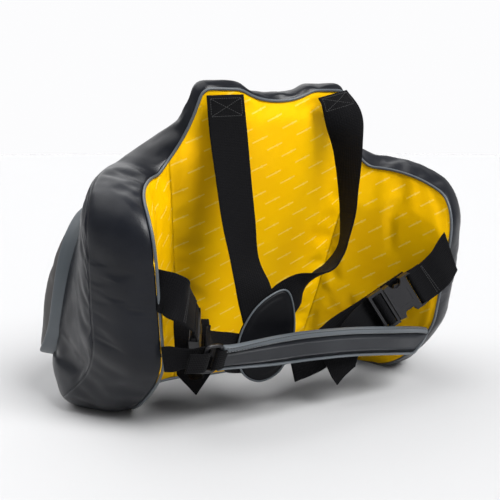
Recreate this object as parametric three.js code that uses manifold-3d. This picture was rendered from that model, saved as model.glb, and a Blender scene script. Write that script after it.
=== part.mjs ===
// Wearable kick shield: a C-shaped padded vest that stands on its lower edge.
// Millimetres, +Z up, +X to the wearer's right, +Y out of the strike side.
import * as THREE from 'three';
import { mergeVertices } from 'three/addons/utils/BufferGeometryUtils.js';
import Module from 'manifold-3d';

const wasm = await Module();
wasm.setup();

// ---- Driving dimensions -------------------------------------------------

const GAP = 0.6;                  // clearance between neighbouring pieces

// Flat pattern of the lining: "across" runs from the centre line along the
// sheet, "up" runs along the leaning centre panel.
const CHEST_UP = 385;             // chest corners
const NECK_UP = 372;              // bottom of the neck scoop
const NECK_HALF = 48;             // half width of the neck scoop
const CHEST_HALF = 96;            // half width across the chest corners
const ARMHOLE = [152, 289];       // lowest point of the armhole curve
const SHOULDER_OF_WING = [257, 284];
const WING_ACROSS = 284;          // centre line to wing tip
const TIP_TOP_UP = 228;
const TIP_FOOT_UP = 138;
const FOOT_ACROSS = 127;          // where the straight lower edge ends
const SEAM_FOOT = 88;             // fold seam at the lower edge
const SEAM_SPREAD = 43 / 300;     // the seam leans outwards as it rises

// Bend of the sheet around the wearer.
const CENTRE_RADIUS = 1400;
const FOLD_ANGLE = THREE.MathUtils.degToRad(46);
const FOLD_LENGTH = 50;
const WING_RADIUS = 168;
const LEAN = THREE.MathUtils.degToRad(15.7);
const BACK_PLANE_Y = 100;
const SHELL_UP = 3.5;             // height of the pattern's foot at the centre line
const REST_UP = 4;                // the soft lower edge spreads flat on the floor at this height
const SKIRT_FLARE = 35;           // the lower edge of each wing stands outwards
const SKIRT_UP = 130;
const SKIRT_FROM = 60;            // the flare starts this far from the centre line
const SKIRT_WIDTH = 100;
const WING_TWIST = 9;             // the top of each wing leans inwards
const WING_SPAN = 150;
const WING_MIDDLE_UP = 150;

// Thickness of the padding.
const CHEST_RIM = 28;
const WAIST_PAD = 62;
const HIP_PAD = 42;               // extra padding low on each wing
const HIP_ACROSS = 172;
const HIP_SPREAD = 55;
const PAD_THINS_UP = 250;         // above this height the padding thins towards the chest rim
const HIP_SWELLS = [-20, 70];     // heights over which the hip padding grows
const HIP_FADES = [110, 290];     // and over which it goes again
const TIP_SETBACK = 48;           // the strike face is shorter than the lining at the wing tip
const SETBACK_FROM = 140;
const SETBACK_TO = 324;

// Sheet goods.
const LINING = 2;
const COVER = 2;
const GUSSET = 2.2;
const PIPING_RADIUS = 2.3;

// The whole part is moved so that its box stands centred on the origin.
const CENTRE_SHIFT_Y = 25.17;

// ---- Materials ------------------------------------------------------------

function finish(colour, roughness, metalness = 0) {
  return new THREE.MeshStandardMaterial({ color: colour, roughness, metalness });
}

const foam = finish(0x8c8f94, 0.95);
const yellowLining = finish(0xf2c200, 0.7);
const blackLeather = finish(0x22252c, 0.45);
const greyTrim = finish(0x5b646b, 0.5);
const padLeather = finish(0x35353a, 0.6);
const blackWebbing = finish(0x141518, 0.85);
const blackPlastic = finish(0x1c1d20, 0.4);

// ---- Solids from points -----------------------------------------------------

const model = new THREE.Group();
model.position.set(0, -CENTRE_SHIFT_Y, -REST_UP);

function addMesh(name, geometry, material) {
  const mesh = new THREE.Mesh(geometry, material);
  mesh.name = name;
  model.add(mesh);
}

// Turns every face of a closed surface outwards and returns its geometry.
function closedGeometry(points, faces) {
  const geometry = new THREE.BufferGeometry();
  const positions = points.flatMap((p) => [p.x, p.y, p.z]);
  geometry.setAttribute('position', new THREE.Float32BufferAttribute(positions, 3));
  let volume = 0;
  const cross = new THREE.Vector3();
  for (const [a, b, c] of faces) {
    cross.crossVectors(points[b], points[c]);
    volume += points[a].dot(cross);
  }
  const outward = volume > 0 ? faces : faces.map(([a, b, c]) => [a, c, b]);
  geometry.setIndex(outward.flat());
  return geometry;
}

// A sheet of columns x rows quads; outs lists its depths from the near face to the far one.
function sheetSolid(place, columns, rows, outs) {
  const points = [];
  const index = (side, i, j) => (side * (columns + 1) + i) * (rows + 1) + j;
  for (const outAt of outs) {
    for (let i = 0; i <= columns; i += 1) {
      for (let j = 0; j <= rows; j += 1) {
        points.push(place(i / columns, j / rows, outAt));
      }
    }
  }
  const faces = [];
  const quad = (a, b, c, d) => faces.push([a, b, c], [a, c, d]);
  const last = outs.length - 1;
  for (let i = 0; i < columns; i += 1) {
    for (let j = 0; j < rows; j += 1) {
      quad(index(0, i, j), index(0, i, j + 1), index(0, i + 1, j + 1), index(0, i + 1, j));
      quad(index(last, i, j), index(last, i + 1, j), index(last, i + 1, j + 1), index(last, i, j + 1));
    }
  }
  for (let k = 0; k < last; k += 1) {
    const m = k + 1;
    for (let i = 0; i < columns; i += 1) {
      quad(index(m, i + 1, 0), index(m, i, 0), index(k, i, 0), index(k, i + 1, 0));
      quad(index(m, i, rows), index(m, i + 1, rows), index(k, i + 1, rows), index(k, i, rows));
    }
    for (let j = 0; j < rows; j += 1) {
      quad(index(m, 0, j), index(m, 0, j + 1), index(k, 0, j + 1), index(k, 0, j));
      quad(index(m, columns, j + 1), index(m, columns, j), index(k, columns, j), index(k, columns, j + 1));
    }
  }
  return usedPoints(points, faces);
}

// Drops the points that no face uses before the surface is closed.
function usedPoints(points, faces) {
  const place = new Map();
  const kept = [];
  const renumber = (p) => {
    if (!place.has(p)) {
      place.set(p, kept.length);
      kept.push(points[p]);
    }
    return place.get(p);
  };
  return closedGeometry(kept, faces.map((face) => face.map(renumber)));
}

// A bar through a list of sections, each a ring of points; a loop has no end caps.
function barSolid(sections, loop = false) {
  const sides = sections[0].length;
  const points = sections.flat();
  const faces = [];
  const spans = loop ? sections.length : sections.length - 1;
  for (let s = 0; s < spans; s += 1) {
    const here = s * sides;
    const next = ((s + 1) % sections.length) * sides;
    for (let k = 0; k < sides; k += 1) {
      const m = (k + 1) % sides;
      faces.push([here + k, here + m, next + m], [here + k, next + m, next + k]);
    }
  }
  if (!loop) {
    const last = (sections.length - 1) * sides;
    for (let k = 0; k < sides / 2 - 1; k += 1) {
      const near = [k, k + 1, sides - 2 - k, sides - 1 - k];
      const far = near.map((p) => last + p);
      faces.push([near[0], near[2], near[1]], [near[0], near[3], near[2]]);
      faces.push([far[0], far[1], far[2]], [far[0], far[2], far[3]]);
    }
  }
  return closedGeometry(points, faces);
}

// ---- The padded shell ---------------------------------------------------------

function ramp(value, from, to) {
  return THREE.MathUtils.smoothstep(value, from, to);
}

function paddingAt(across, up) {
  const base = THREE.MathUtils.lerp(WAIST_PAD, CHEST_RIM, ramp(up, PAD_THINS_UP, CHEST_UP));
  const bulge = Math.exp(-(((across - HIP_ACROSS) / HIP_SPREAD) ** 2));
  return base + HIP_PAD * bulge * ramp(up, ...HIP_SWELLS) * (1 - ramp(up, ...HIP_FADES));
}

// Where the sheet runs: the centre bows towards the wearer, then comes the fold and the wing.
function bend(across, up) {
  const foldStart = SEAM_FOOT + SEAM_SPREAD * up - FOLD_LENGTH / 2;
  const bow = Math.min(across, foldStart) / CENTRE_RADIUS;
  const foldRadius = FOLD_LENGTH / FOLD_ANGLE;
  const fold = THREE.MathUtils.clamp(across - foldStart, 0, FOLD_LENGTH) / foldRadius - bow;
  const turn = fold + Math.max(across - foldStart - FOLD_LENGTH, 0) / WING_RADIUS;
  const arcs = [[-CENTRE_RADIUS, 0, -bow], [foldRadius, -bow, fold], [WING_RADIUS, fold, turn]];
  const sheet = { x: 0, y: 0, turn };
  for (const [radius, from, to] of arcs) {
    sheet.x += radius * (Math.sin(to) - Math.sin(from));
    sheet.y -= radius * (Math.cos(from) - Math.cos(to));
  }
  return sheet;
}

// A point of the shell: out is the distance from the lining towards the strike face.
function shellPoint(side, across, up, out, floor = 0) {
  const depth = out / paddingAt(across, up);
  const setBack = TIP_SETBACK * depth * ramp(across, SETBACK_FROM, SETBACK_TO);
  const sheet = bend(across - setBack, up);
  const skirt = THREE.MathUtils.clamp(1 - up / SKIRT_UP, 0, 1) ** 2;
  const flare = SKIRT_FLARE * skirt * THREE.MathUtils.clamp((across - SKIRT_FROM) / SKIRT_WIDTH, 0, 1);
  const wing = THREE.MathUtils.clamp((across - SEAM_FOOT - SEAM_SPREAD * up) / WING_SPAN, 0, 1);
  const twist = WING_TWIST * wing * (up - WING_MIDDLE_UP) / WING_MIDDLE_UP;
  const offset = out + flare - twist;
  const x = side * (sheet.x + offset * Math.sin(sheet.turn));
  const y = sheet.y + offset * Math.cos(sheet.turn);
  const z = up * Math.cos(LEAN) + y * Math.sin(LEAN) + SHELL_UP;
  return new THREE.Vector3(
    x,
    BACK_PLANE_Y + y * Math.cos(LEAN) - up * Math.sin(LEAN),
    Math.max(z, REST_UP + floor),
  );
}

function pathOf(...segments) {
  const path = new THREE.CurvePath();
  for (const points of segments) {
    const [a, b, c] = points.map(([x, y]) => new THREE.Vector2(x, y));
    path.add(c ? new THREE.QuadraticBezierCurve(a, b, c) : new THREE.LineCurve(a, b));
  }
  return path;
}

const seamTop = [131, 303];
const CHEST_EDGE = pathOf(
  [[0, NECK_UP], [NECK_HALF * 0.6, NECK_UP], [NECK_HALF, CHEST_UP]],
  [[NECK_HALF, CHEST_UP], [CHEST_HALF - 8, CHEST_UP]],
  [[CHEST_HALF - 8, CHEST_UP], [CHEST_HALF, CHEST_UP], [CHEST_HALF + 2, CHEST_UP - 10]],
  [[CHEST_HALF + 2, CHEST_UP - 10], [109, 325], seamTop],
);
const CENTRE_FOOT = pathOf([[0, 0], [SEAM_FOOT, 0]]);
const WING_EDGE = pathOf(
  [seamTop, [142, 292], ARMHOLE],
  [ARMHOLE, [205, 296], SHOULDER_OF_WING],
  [SHOULDER_OF_WING, [WING_ACROSS, 270], [WING_ACROSS, TIP_TOP_UP]],
);
const WING_FOOT = pathOf(
  [[SEAM_FOOT, 0], [FOOT_ACROSS, 0]],
  [[FOOT_ACROSS, 0], [186, 0], [237, 62]],
  [[237, 62], [WING_ACROSS, 118], [WING_ACROSS, TIP_FOOT_UP]],
);

// Columns join the two edges of a panel; trim is the margin left to the outline.
function between(footEdge, topEdge, u, v, trim) {
  const foot = footEdge.getPointAt(u);
  const top = topEdge.getPointAt(u);
  const column = top.clone().sub(foot);
  const length = column.length();
  const margin = (edge) => {
    const slope = Math.abs(column.cross(edge.getTangentAt(u))) / length;
    return trim / Math.max(slope, 0.25) / length;
  };
  return foot.lerp(top, THREE.MathUtils.lerp(margin(footEdge), 1 - margin(topEdge), v));
}

// A panel places (u, v) of its own outline; outAt gives the depth for a height.
function centrePanel(trim, floor) {
  return (u, v, outAt) => {
    const signed = 2 * u - 1;
    const p = between(CENTRE_FOOT, CHEST_EDGE, Math.abs(signed), v, trim);
    const across = p.x * (1 - GAP / 2 / SEAM_FOOT);
    return shellPoint(signed < 0 ? -1 : 1, across, p.y, outAt(p.x, p.y), floor);
  };
}

function wingPanel(side, trim, floor) {
  return (u, v, outAt) => {
    const p = between(WING_FOOT, WING_EDGE, THREE.MathUtils.lerp(0.002, 1, u), v, trim);
    const across = Math.min(p.x, WING_ACROSS - trim);
    return shellPoint(side, across, p.y, outAt(p.x, p.y), floor);
  };
}

const PANELS = [
  { name: 'centre', columns: 20, rows: 6, make: centrePanel },
  { name: 'left_wing', columns: 12, rows: 5, make: (t, f) => wingPanel(-1, t, f) },
  { name: 'right_wing', columns: 12, rows: 5, make: (t, f) => wingPanel(1, t, f) },
];

const KNEE = 0.35;                // where the gusset bends, as a share of the padding
const strikeFace = paddingAt;
const kneeAt = (across, up) => paddingAt(across, up) * KNEE;
const TRIM = GUSSET + GAP;

for (const { name, columns, rows, make } of PANELS) {
  const sheet = make(TRIM, TRIM);
  const block = make(TRIM + 2 * GAP, TRIM + 2 * GAP);
  const layer = (part, panel, outs, material) => {
    addMesh(part, sheetSolid(panel, columns, rows, outs), material);
  };
  const foamBack = () => LINING + GAP;
  const foamFront = (across, up) => strikeFace(across, up) - COVER - GAP;
  const coverBack = (across, up) => strikeFace(across, up) - COVER;
  layer(`lining_${name}`, sheet, [() => 0, () => LINING], yellowLining);
  layer(`foam_core_${name}`, block, [foamBack, kneeAt, foamFront], foam);
  layer(`front_cover_${name}`, make(TRIM + GAP, TRIM + GAP), [coverBack, strikeFace], blackLeather);
}

// Gussets close the edge between lining and front cover.
function gussetSection(panel, trimmed, u, v) {
  const ring = [];
  for (const [place, outs] of [[panel, [0, KNEE, 1]], [trimmed, [1, KNEE, 0]]]) {
    for (const share of outs) {
      ring.push(place(u, v, (across, up) => strikeFace(across, up) * share));
    }
  }
  return ring;
}

function gusset(name, make, stations) {
  const outer = make(0, 0);
  const inner = make(GUSSET, GUSSET);
  const sections = stations.map(([u, v]) => gussetSection(outer, inner, u, v));
  addMesh(name, barSolid(sections), blackLeather);
}

function steps(from, to, count) {
  return Array.from({ length: count + 1 }, (_, i) => from + ((to - from) * i) / count);
}

gusset('chest_gusset', centrePanel, steps(0, 1, 20).map((u) => [u, 1]));
gusset('foot_gusset', centrePanel, steps(1, 0, 20).map((u) => [u, 0]));
for (const [name, side] of [['left', -1], ['right', 1]]) {
  const around = [
    ...steps(0, 1, 12).map((u) => [u, 1]),
    ...steps(0.8, 0.2, 3).map((v) => [1, v]),
    ...steps(1, 0, 12).map((u) => [u, 0]),
  ];
  gusset(`${name}_wing_gusset`, (t, f) => wingPanel(side, t, f), around);
}

// ---- Piping round the lining ----------------------------------------------------

// One side of the outline, from the middle of the neck round the wing to the middle of the foot.
function halfOutline(side, trim, out, floor) {
  const wing = wingPanel(side, trim, floor);
  const outAt = () => out;
  const centre = (edge, u) => {
    const p = between(CENTRE_FOOT, CHEST_EDGE, u, edge, trim);
    return shellPoint(side, p.x, p.y, out, floor);
  };
  return [
    ...steps(0, 1, 16).map((u) => centre(1, u)),
    ...steps(0.06, 1, 14).map((u) => wing(u, 1, outAt)),
    ...steps(0.8, 0.2, 3).map((v) => wing(1, v, outAt)),
    ...steps(1, 0.06, 12).map((u) => wing(u, 0, outAt)),
    ...steps(1, 0, 4).map((u) => centre(0, u)),
  ];
}

function roundSection(centre, ahead, behind, strike, radius, sides) {
  const along = ahead.clone().sub(behind).normalize();
  const up = strike.clone().addScaledVector(along, -strike.dot(along)).normalize();
  const across = new THREE.Vector3().crossVectors(along, up);
  return Array.from({ length: sides }, (_, k) => {
    const angle = (2 * Math.PI * (k + 0.5)) / sides;
    return centre.clone()
      .addScaledVector(up, radius * Math.cos(angle))
      .addScaledVector(across, radius * Math.sin(angle));
  });
}

const PIPING_OUT = -PIPING_RADIUS - 4 * GAP;
const pipingHalf = (side, out) => halfOutline(side, PIPING_RADIUS, out, PIPING_RADIUS + 0.4);
const loopOf = (out) => [...pipingHalf(1, out), ...pipingHalf(-1, out).reverse().slice(1, -1)];
const pipingLine = loopOf(PIPING_OUT);
const strikeLine = loopOf(PIPING_OUT + 1);
const pipingSections = pipingLine.map((p, i) => {
  const ahead = pipingLine[(i + 1) % pipingLine.length];
  const behind = pipingLine.at(i - 1);
  return roundSection(p, ahead, behind, strikeLine[i].clone().sub(p), PIPING_RADIUS, 6);
});
addMesh('lining_piping', barSolid(pipingSections, true), greyTrim);

// ---- Raised strike pad -------------------------------------------------------------

const PAD_RISE = 16;
const PAD_ROUNDNESS = 0.6;
const PAD_CLEAR = 5.9;                // the pad is sewn on just clear of the cover
const PAD_MIDDLE_UP = 141;
const PAD_HALF_ACROSS = 206;
const PAD_HALF_UP = 107;
const PAD_COLUMNS = 24;
const PAD_ROWS = 5;

// The pad wraps the whole strike face from flank to flank; u and v map a square to it.
function strikePad(trim) {
  return (u, v, rise) => {
    const x = (2 * u - 1) * (1 - trim / PAD_HALF_ACROSS);
    const y = (2 * v - 1) * (1 - trim / PAD_HALF_UP);
    const across = x * Math.sqrt(1 - PAD_ROUNDNESS * y * y / 2) * PAD_HALF_ACROSS;
    const up = PAD_MIDDLE_UP + y * Math.sqrt(1 - PAD_ROUNDNESS * x * x / 2) * PAD_HALF_UP;
    const reach = Math.abs(across);
    return shellPoint(across < 0 ? -1 : 1, reach, up, strikeFace(reach, up) + PAD_CLEAR + rise);
  };
}

function bandSection(u, v) {
  const outer = strikePad(0);
  const inner = strikePad(GUSSET);
  return [outer(u, v, 0), outer(u, v, PAD_RISE), inner(u, v, PAD_RISE), inner(u, v, 0)];
}

const bandPath = [
  ...steps(0, 1 - 1 / PAD_COLUMNS, PAD_COLUMNS - 1).map((t) => [t, 0]),
  ...steps(0, 1 - 1 / PAD_ROWS, PAD_ROWS - 1).map((t) => [1, t]),
  ...steps(1, 1 / PAD_COLUMNS, PAD_COLUMNS - 1).map((t) => [t, 1]),
  ...steps(1, 1 / PAD_ROWS, PAD_ROWS - 1).map((t) => [0, t]),
];
const insidePad = strikePad(GUSSET + 2 * GAP);
const padFoam = [0, PAD_RISE - COVER - GAP];
const padFace = [PAD_RISE - COVER, PAD_RISE];
addMesh('strike_pad_foam', sheetSolid(insidePad, PAD_COLUMNS, PAD_ROWS, padFoam), foam);
addMesh('strike_pad_face', sheetSolid(insidePad, PAD_COLUMNS, PAD_ROWS, padFace), padLeather);
addMesh('strike_pad_band', barSolid(bandPath.map(([u, v]) => bandSection(u, v)), true), greyTrim);

// ---- Webbing ---------------------------------------------------------------------------

const WEBBING_WIDTH = 45;
const WEBBING = 1.8;

// A flat strap along a route of [x, y, z] points; each point has a hint of its width direction.
function smoothThrough(points) {
  const vectors = points.map((p) => new THREE.Vector3(...p));
  return new THREE.CatmullRomCurve3(vectors, false, 'catmullrom', 0.5);
}

function strapSections(route, count, { width = WEBBING_WIDTH, thickness = WEBBING, point = 0, shift = 0 }) {
  const middle = smoothThrough(route.map(({ at }) => at));
  const hints = smoothThrough(route.map(({ wide }) => wide));
  const length = middle.getLength();
  return steps(0, 1, count).map((t) => {
    const along = middle.getTangent(t);
    const wide = hints.getPoint(t);
    wide.addScaledVector(along, -wide.dot(along)).normalize();
    const thick = new THREE.Vector3().crossVectors(along, wide);
    const left = point ? Math.min(1, ((1 - t) * length + 1) / point) : 1;
    return [[1, 1], [-1, 1], [-1, -1], [1, -1]].map(([w, h]) => middle.getPoint(t)
      .addScaledVector(wide, shift + w * left * width / 2)
      .addScaledVector(thick, h * thickness / 2));
  });
}

function strap(name, route, count, form = {}, material = blackWebbing) {
  addMesh(name, barSolid(strapSections(route, count, form)), material);
}

strap('shoulder_strap_left', [
  { at: [-73, -11, 368], wide: [1, -0.1, 0] },
  { at: [-72, -17, 326], wide: [1, -0.15, 0] },
  { at: [-71, -28, 273], wide: [1, 0, 0] },
  { at: [-70, -38, 228], wide: [1, 0.1, 0] },
  { at: [-68, -48, 186], wide: [0.95, 0.3, 0] },
  { at: [-65, -60.5, 158], wide: [1, 0.05, -0.1] },
  { at: [-58, -62, 130], wide: [1, 0, -0.2] },
], 24);

strap('shoulder_strap_right', [
  { at: [71, -12, 370], wide: [1, -0.1, 0] },
  { at: [74, -20, 359], wide: [1, -0.2, 0] },
  { at: [77, -28, 340], wide: [0.9, -0.45, 0] },
  { at: [78, -34, 316], wide: [0.7, -0.7, 0] },
  { at: [77, -39, 290], wide: [0.45, -0.85, 0] },
  { at: [76, -43, 258], wide: [0.15, -1, 0] },
  { at: [73, -47, 228], wide: [-0.15, -1, 0] },
  { at: [64, -50, 194], wide: [-0.4, -0.9, 0] },
  { at: [48, -53, 174], wide: [-0.3, -0.9, 0.1] },
  { at: [30, -56, 163], wide: [-0.1, -0.95, 0.2] },
  { at: [12, -59, 155], wide: [-0.2, -0.75, 0.45] },
  { at: [-6, -61, 147], wide: [-0.45, -0.3, 0.75] },
  { at: [-24, -62, 136], wide: [-0.5, 0, 0.8] },
], 44);

// ---- Cross pad where the four straps meet behind the wearer --------------------------------

// Puts a shape drawn in x, y with its depth along z into a frame of the part.
function placed(geometry, origin, xAxis, yAxis) {
  const x = new THREE.Vector3(...xAxis).normalize();
  const y = new THREE.Vector3(...yAxis);
  y.addScaledVector(x, -y.dot(x)).normalize();
  const z = new THREE.Vector3().crossVectors(x, y);
  const matrix = new THREE.Matrix4().makeBasis(x, y, z).setPosition(...origin);
  return geometry.clone().applyMatrix4(matrix);
}

const CROSS_PAD_AT = [-46, -61, 97];
const CROSS_PAD_X = [0.95, -0.02, -0.32];
const CROSS_PAD_Y = [0.32, 0, 0.95];
const CROSS_PAD_OUTLINE = [
  [5, 56], [22, 36], [32, 2], [27, -34], [4, -52], [-22, -45], [-36, -14], [-31, 19], [-16, 43],
];

function leafShape(inset) {
  const points = CROSS_PAD_OUTLINE.map(([x, y]) => {
    const length = Math.hypot(x, y);
    return new THREE.Vector2(x, y).multiplyScalar(1 - inset / length);
  });
  const curve = new THREE.SplineCurve([...points, points[0]]);
  return new THREE.Shape(curve.getPoints(36).slice(0, -1));
}

function leaf(name, inset, from, thickness, material) {
  const geometry = new THREE.ExtrudeGeometry(leafShape(inset), { depth: thickness, bevelEnabled: false });
  geometry.translate(0, 0, from);
  addMesh(name, placed(geometry, CROSS_PAD_AT, CROSS_PAD_X, CROSS_PAD_Y), material);
}

leaf('cross_pad_back', 2 * GAP, -4.5, 3, blackLeather);
leaf('cross_pad_front', 1.5 + 2 * GAP, 3.5, 4, blackLeather);

const leafEdge = leafShape(0).getPoints();
const pipingRing = leafEdge.map((p, i) => {
  const ahead = leafEdge[(i + 1) % leafEdge.length];
  const behind = leafEdge.at(i - 1);
  const lift = (q) => new THREE.Vector3(q.x, q.y, 5.5);
  return roundSection(lift(p), lift(ahead), lift(behind), new THREE.Vector3(0, 0, 1), 1.5, 6);
});
const crossPiping = placed(barSolid(pipingRing, true), CROSS_PAD_AT, CROSS_PAD_X, CROSS_PAD_Y);
addMesh('cross_pad_piping', crossPiping, greyTrim);

// ---- Side-release buckles -----------------------------------------------------------------------
// Drawn with x along the strap from the sewn end to the adjustable end, y across the strap, z up.

const HOUSING_LENGTH = 39;
const HOUSING_WIDTH = 45;
const HOUSING_THICKNESS = 11;
const NOTCH_AT = 23;
const NOTCH_RADIUS = 8;
const WALL = 2;
const BAR = 3.2;
const SLOT = 4.6;
const MOUTH_GAP = 0.6;
const FRAME_LENGTH = 20;
const FRAME_WIDTH = 48;
const FRAME_THICKNESS = 8;
const GUIDE_START = 16;            // the centre guide reaches this far into the housing
const PRONG_THICKNESS = 5;
const PRONG_PIVOT = [HOUSING_LENGTH - 3, 12];
const THREAD = 1.6;                // thickness of the webbing where it threads a buckle

function toManifold(geometry) {
  const bare = geometry.clone();
  bare.deleteAttribute('normal');
  bare.deleteAttribute('uv');
  const merged = mergeVertices(bare, 1e-4);
  const mesh = new wasm.Mesh({
    numProp: 3,
    vertProperties: new Float32Array(merged.attributes.position.array),
    triVerts: new Uint32Array(merged.index.array),
  });
  return new wasm.Manifold(mesh);
}

function fromManifold(solid) {
  const mesh = solid.getMesh();
  const geometry = new THREE.BufferGeometry();
  geometry.setAttribute('position', new THREE.BufferAttribute(mesh.vertProperties, 3));
  geometry.setIndex(new THREE.BufferAttribute(mesh.triVerts, 1));
  return geometry;
}

function box(from, to) {
  const size = to.map((value, i) => value - from[i]);
  const middle = to.map((value, i) => (value + from[i]) / 2);
  return toManifold(new THREE.BoxGeometry(...size).translate(...middle));
}

// Plan outline of the housing: round shoulders and a thumb notch in each long side.
function housingShape() {
  const half = HOUSING_WIDTH / 2;
  const shape = new THREE.Shape();
  shape.moveTo(0, -half + 3);
  shape.quadraticCurveTo(0, -half, 3, -half);
  shape.lineTo(NOTCH_AT - NOTCH_RADIUS, -half);
  shape.absarc(NOTCH_AT, -half, NOTCH_RADIUS, Math.PI, 0, true);
  shape.lineTo(HOUSING_LENGTH, -half);
  shape.lineTo(HOUSING_LENGTH, half);
  shape.lineTo(NOTCH_AT + NOTCH_RADIUS, half);
  shape.absarc(NOTCH_AT, half, NOTCH_RADIUS, 0, Math.PI, true);
  shape.lineTo(3, half);
  shape.quadraticCurveTo(0, half, 0, half - 3);
  return shape;
}

function housing() {
  const height = HOUSING_THICKNESS;
  const form = { depth: height, bevelEnabled: false, curveSegments: 5 };
  const block = new THREE.ExtrudeGeometry(housingShape(), form);
  block.translate(0, 0, -height / 2);
  const slotEnd = BAR + SLOT;
  const cavityHalf = HOUSING_WIDTH / 2 - WALL;
  const strapSlot = box([BAR, -cavityHalf, -height], [slotEnd, cavityHalf, height]);
  const inside = height / 2 - WALL;
  const cavity = box([slotEnd + WALL, -cavityHalf, -inside], [HOUSING_LENGTH + 1, cavityHalf, inside]);
  return toManifold(block).subtract(strapSlot).subtract(cavity);
}

// The plug's ladder frame with its two strap slots, and the centre guide that enters the housing.
function plugBody() {
  const start = HOUSING_LENGTH + MOUTH_GAP;
  const half = FRAME_WIDTH / 2;
  const thick = FRAME_THICKNESS / 2;
  const slotHalf = half - 3.5;
  const frame = box([start, -half, -thick], [start + FRAME_LENGTH, half, thick]);
  const slotAt = (x) => box([x, -slotHalf, -HOUSING_THICKNESS], [x + SLOT, slotHalf, HOUSING_THICKNESS]);
  const first = slotAt(start + BAR);
  const second = slotAt(start + FRAME_LENGTH - BAR - SLOT);
  const guide = box([GUIDE_START, -4.5, -2], [start + 0.5, 4.5, 2]);
  return frame.subtract(first).subtract(second).add(guide);
}

// A springy arm whose hook catches behind the thumb notch.
function prong(side) {
  const [pivotX, pivotY] = PRONG_PIVOT;
  const outline = [
    [pivotX + 2.6, pivotY - 2], [pivotX + 2.6, pivotY + 2], [28, 14.6], [24, 17.9],
    [18, 17], [15, 13.5], [16.5, 11], [28, 11.2],
  ];
  const shape = new THREE.Shape(outline.map(([x, y]) => new THREE.Vector2(x, side * y)));
  const geometry = new THREE.ExtrudeGeometry(shape, { depth: PRONG_THICKNESS, bevelEnabled: false });
  return geometry.translate(0, 0, -PRONG_THICKNESS / 2);
}

const BUCKLES = {
  right: { at: [144.5, -92, 141], along: [-0.80, 0.22, -0.51], across: [-0.52, 0.25, 0.815] },
  left: { at: [-147, -84, 130], along: [0.287, 0.535, -0.791], across: [0.374, 0.698, 0.607] },
};

for (const [side, { at, along, across }] of Object.entries(BUCKLES)) {
  const put = (name, geometry, material = blackPlastic) => {
    addMesh(name, placed(geometry, at, along, across), material);
  };
  put(`buckle_housing_${side}`, fromManifold(housing()));
  put(`buckle_plug_${side}`, fromManifold(plugBody()));
  put(`buckle_prong_upper_${side}`, prong(1));
  put(`buckle_prong_lower_${side}`, prong(-1));
}

// ---- Harness webbing at the buckles ---------------------------------------------------------------

// Returns a function from local x, y, z to a point of the part.
function frameOf({ at, along, across }) {
  const x = new THREE.Vector3(...along).normalize();
  const y = new THREE.Vector3(...across);
  y.addScaledVector(x, -y.dot(x)).normalize();
  const z = new THREE.Vector3().crossVectors(x, y);
  const origin = new THREE.Vector3(...at);
  return (a, b, c) => origin.clone()
    .addScaledVector(x, a)
    .addScaledVector(y, b)
    .addScaledVector(z, c)
    .toArray();
}

function localRoute(frame, points) {
  const place = frameOf(frame);
  const origin = place(0, 0, 0);
  const wide = place(0, 1, 0).map((value, i) => value - origin[i]);
  return points.map(([x, z]) => ({ at: place(x, 0, z), wide }));
}

const upwards = [0, 0, 1];
const BEHIND = 13;                 // the load strap runs this far behind the buckle
const housingEnd = -1 - WEBBING / 2;

strap('stub_strap_right', [
  { at: [181, -99, 172], wide: [-0.52, 0.15, 0.82] },
  { at: [171, -99.5, 161], wide: [-0.52, 0.22, 0.82] },
  { at: [160, -97, 151.5], wide: [-0.52, 0.25, 0.815] },
  ...localRoute(BUCKLES.right, [[housingEnd, 0]]),
], 9);

strap('stub_strap_left', [
  { at: [-181, -98, 171], wide: [0.1, 0.1, 1] },
  { at: [-170, -101, 164], wide: [0.25, 0.4, 0.88] },
  { at: [-158, -98, 150], wide: [0.374, 0.65, 0.65] },
  ...localRoute(BUCKLES.left, [[housingEnd, 0]]),
], 10);

strap('lower_strap_right', [
  ...localRoute(BUCKLES.right, [[3, BEHIND], [30, BEHIND], [72, BEHIND]]),
  { at: [58, -58, 85], wide: [-0.45, 0.28, 0.85] },
  { at: [22, -61, 67], wide: [-0.4, 0.1, 0.9] },
  { at: [-14, -62, 58], wide: [-0.35, 0, 0.93] },
], 22);

strap('lower_strap_left', [
  ...localRoute(BUCKLES.left, [[3, BEHIND], [20, BEHIND]]),
  { at: [-119, -69, 98], wide: [0.156, 0.79, 0.59] },
  { at: [-105, -64, 89], wide: [0.15, 0.55, 0.78] },
  { at: [-90, -62, 83], wide: [0.1, 0.15, 0.97] },
  { at: [-74, -62, 80], wide: [0.1, 0, 1] },
], 24);

// The threaded end: under the first bar, over the middle bar, under the last bar and off as a tail.
const threaded = [
  [51, 6.2], [47.2, 5.8], [45.1, 3], [45.1, -3], [46.8, -5.8], [49.6, -6.6],
  [52.4, -5.8], [54.1, -3], [54.1, 3], [56.6, 6.2], [61, 7],
];
const TAIL_POINT = 24;
const THREADED_WIDTH = 40;

strap('strap_tail_right', [
  ...localRoute(BUCKLES.right, [...threaded, [70, 5]]),
  { at: [66, -82, 96], wide: [-0.7, 0.2, 0.7] },
  { at: [48, -85, 80], wide: [-0.9, 0.2, 0.4] },
  { at: [40, -86, 64], wide: [-0.95, 0.2, 0.1] },
  { at: [36, -86, 48], wide: [-0.97, 0.2, 0] },
  { at: [35, -85, 33], wide: [-0.97, 0.2, 0] },
], 40, { width: THREADED_WIDTH, thickness: THREAD, point: TAIL_POINT });

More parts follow.
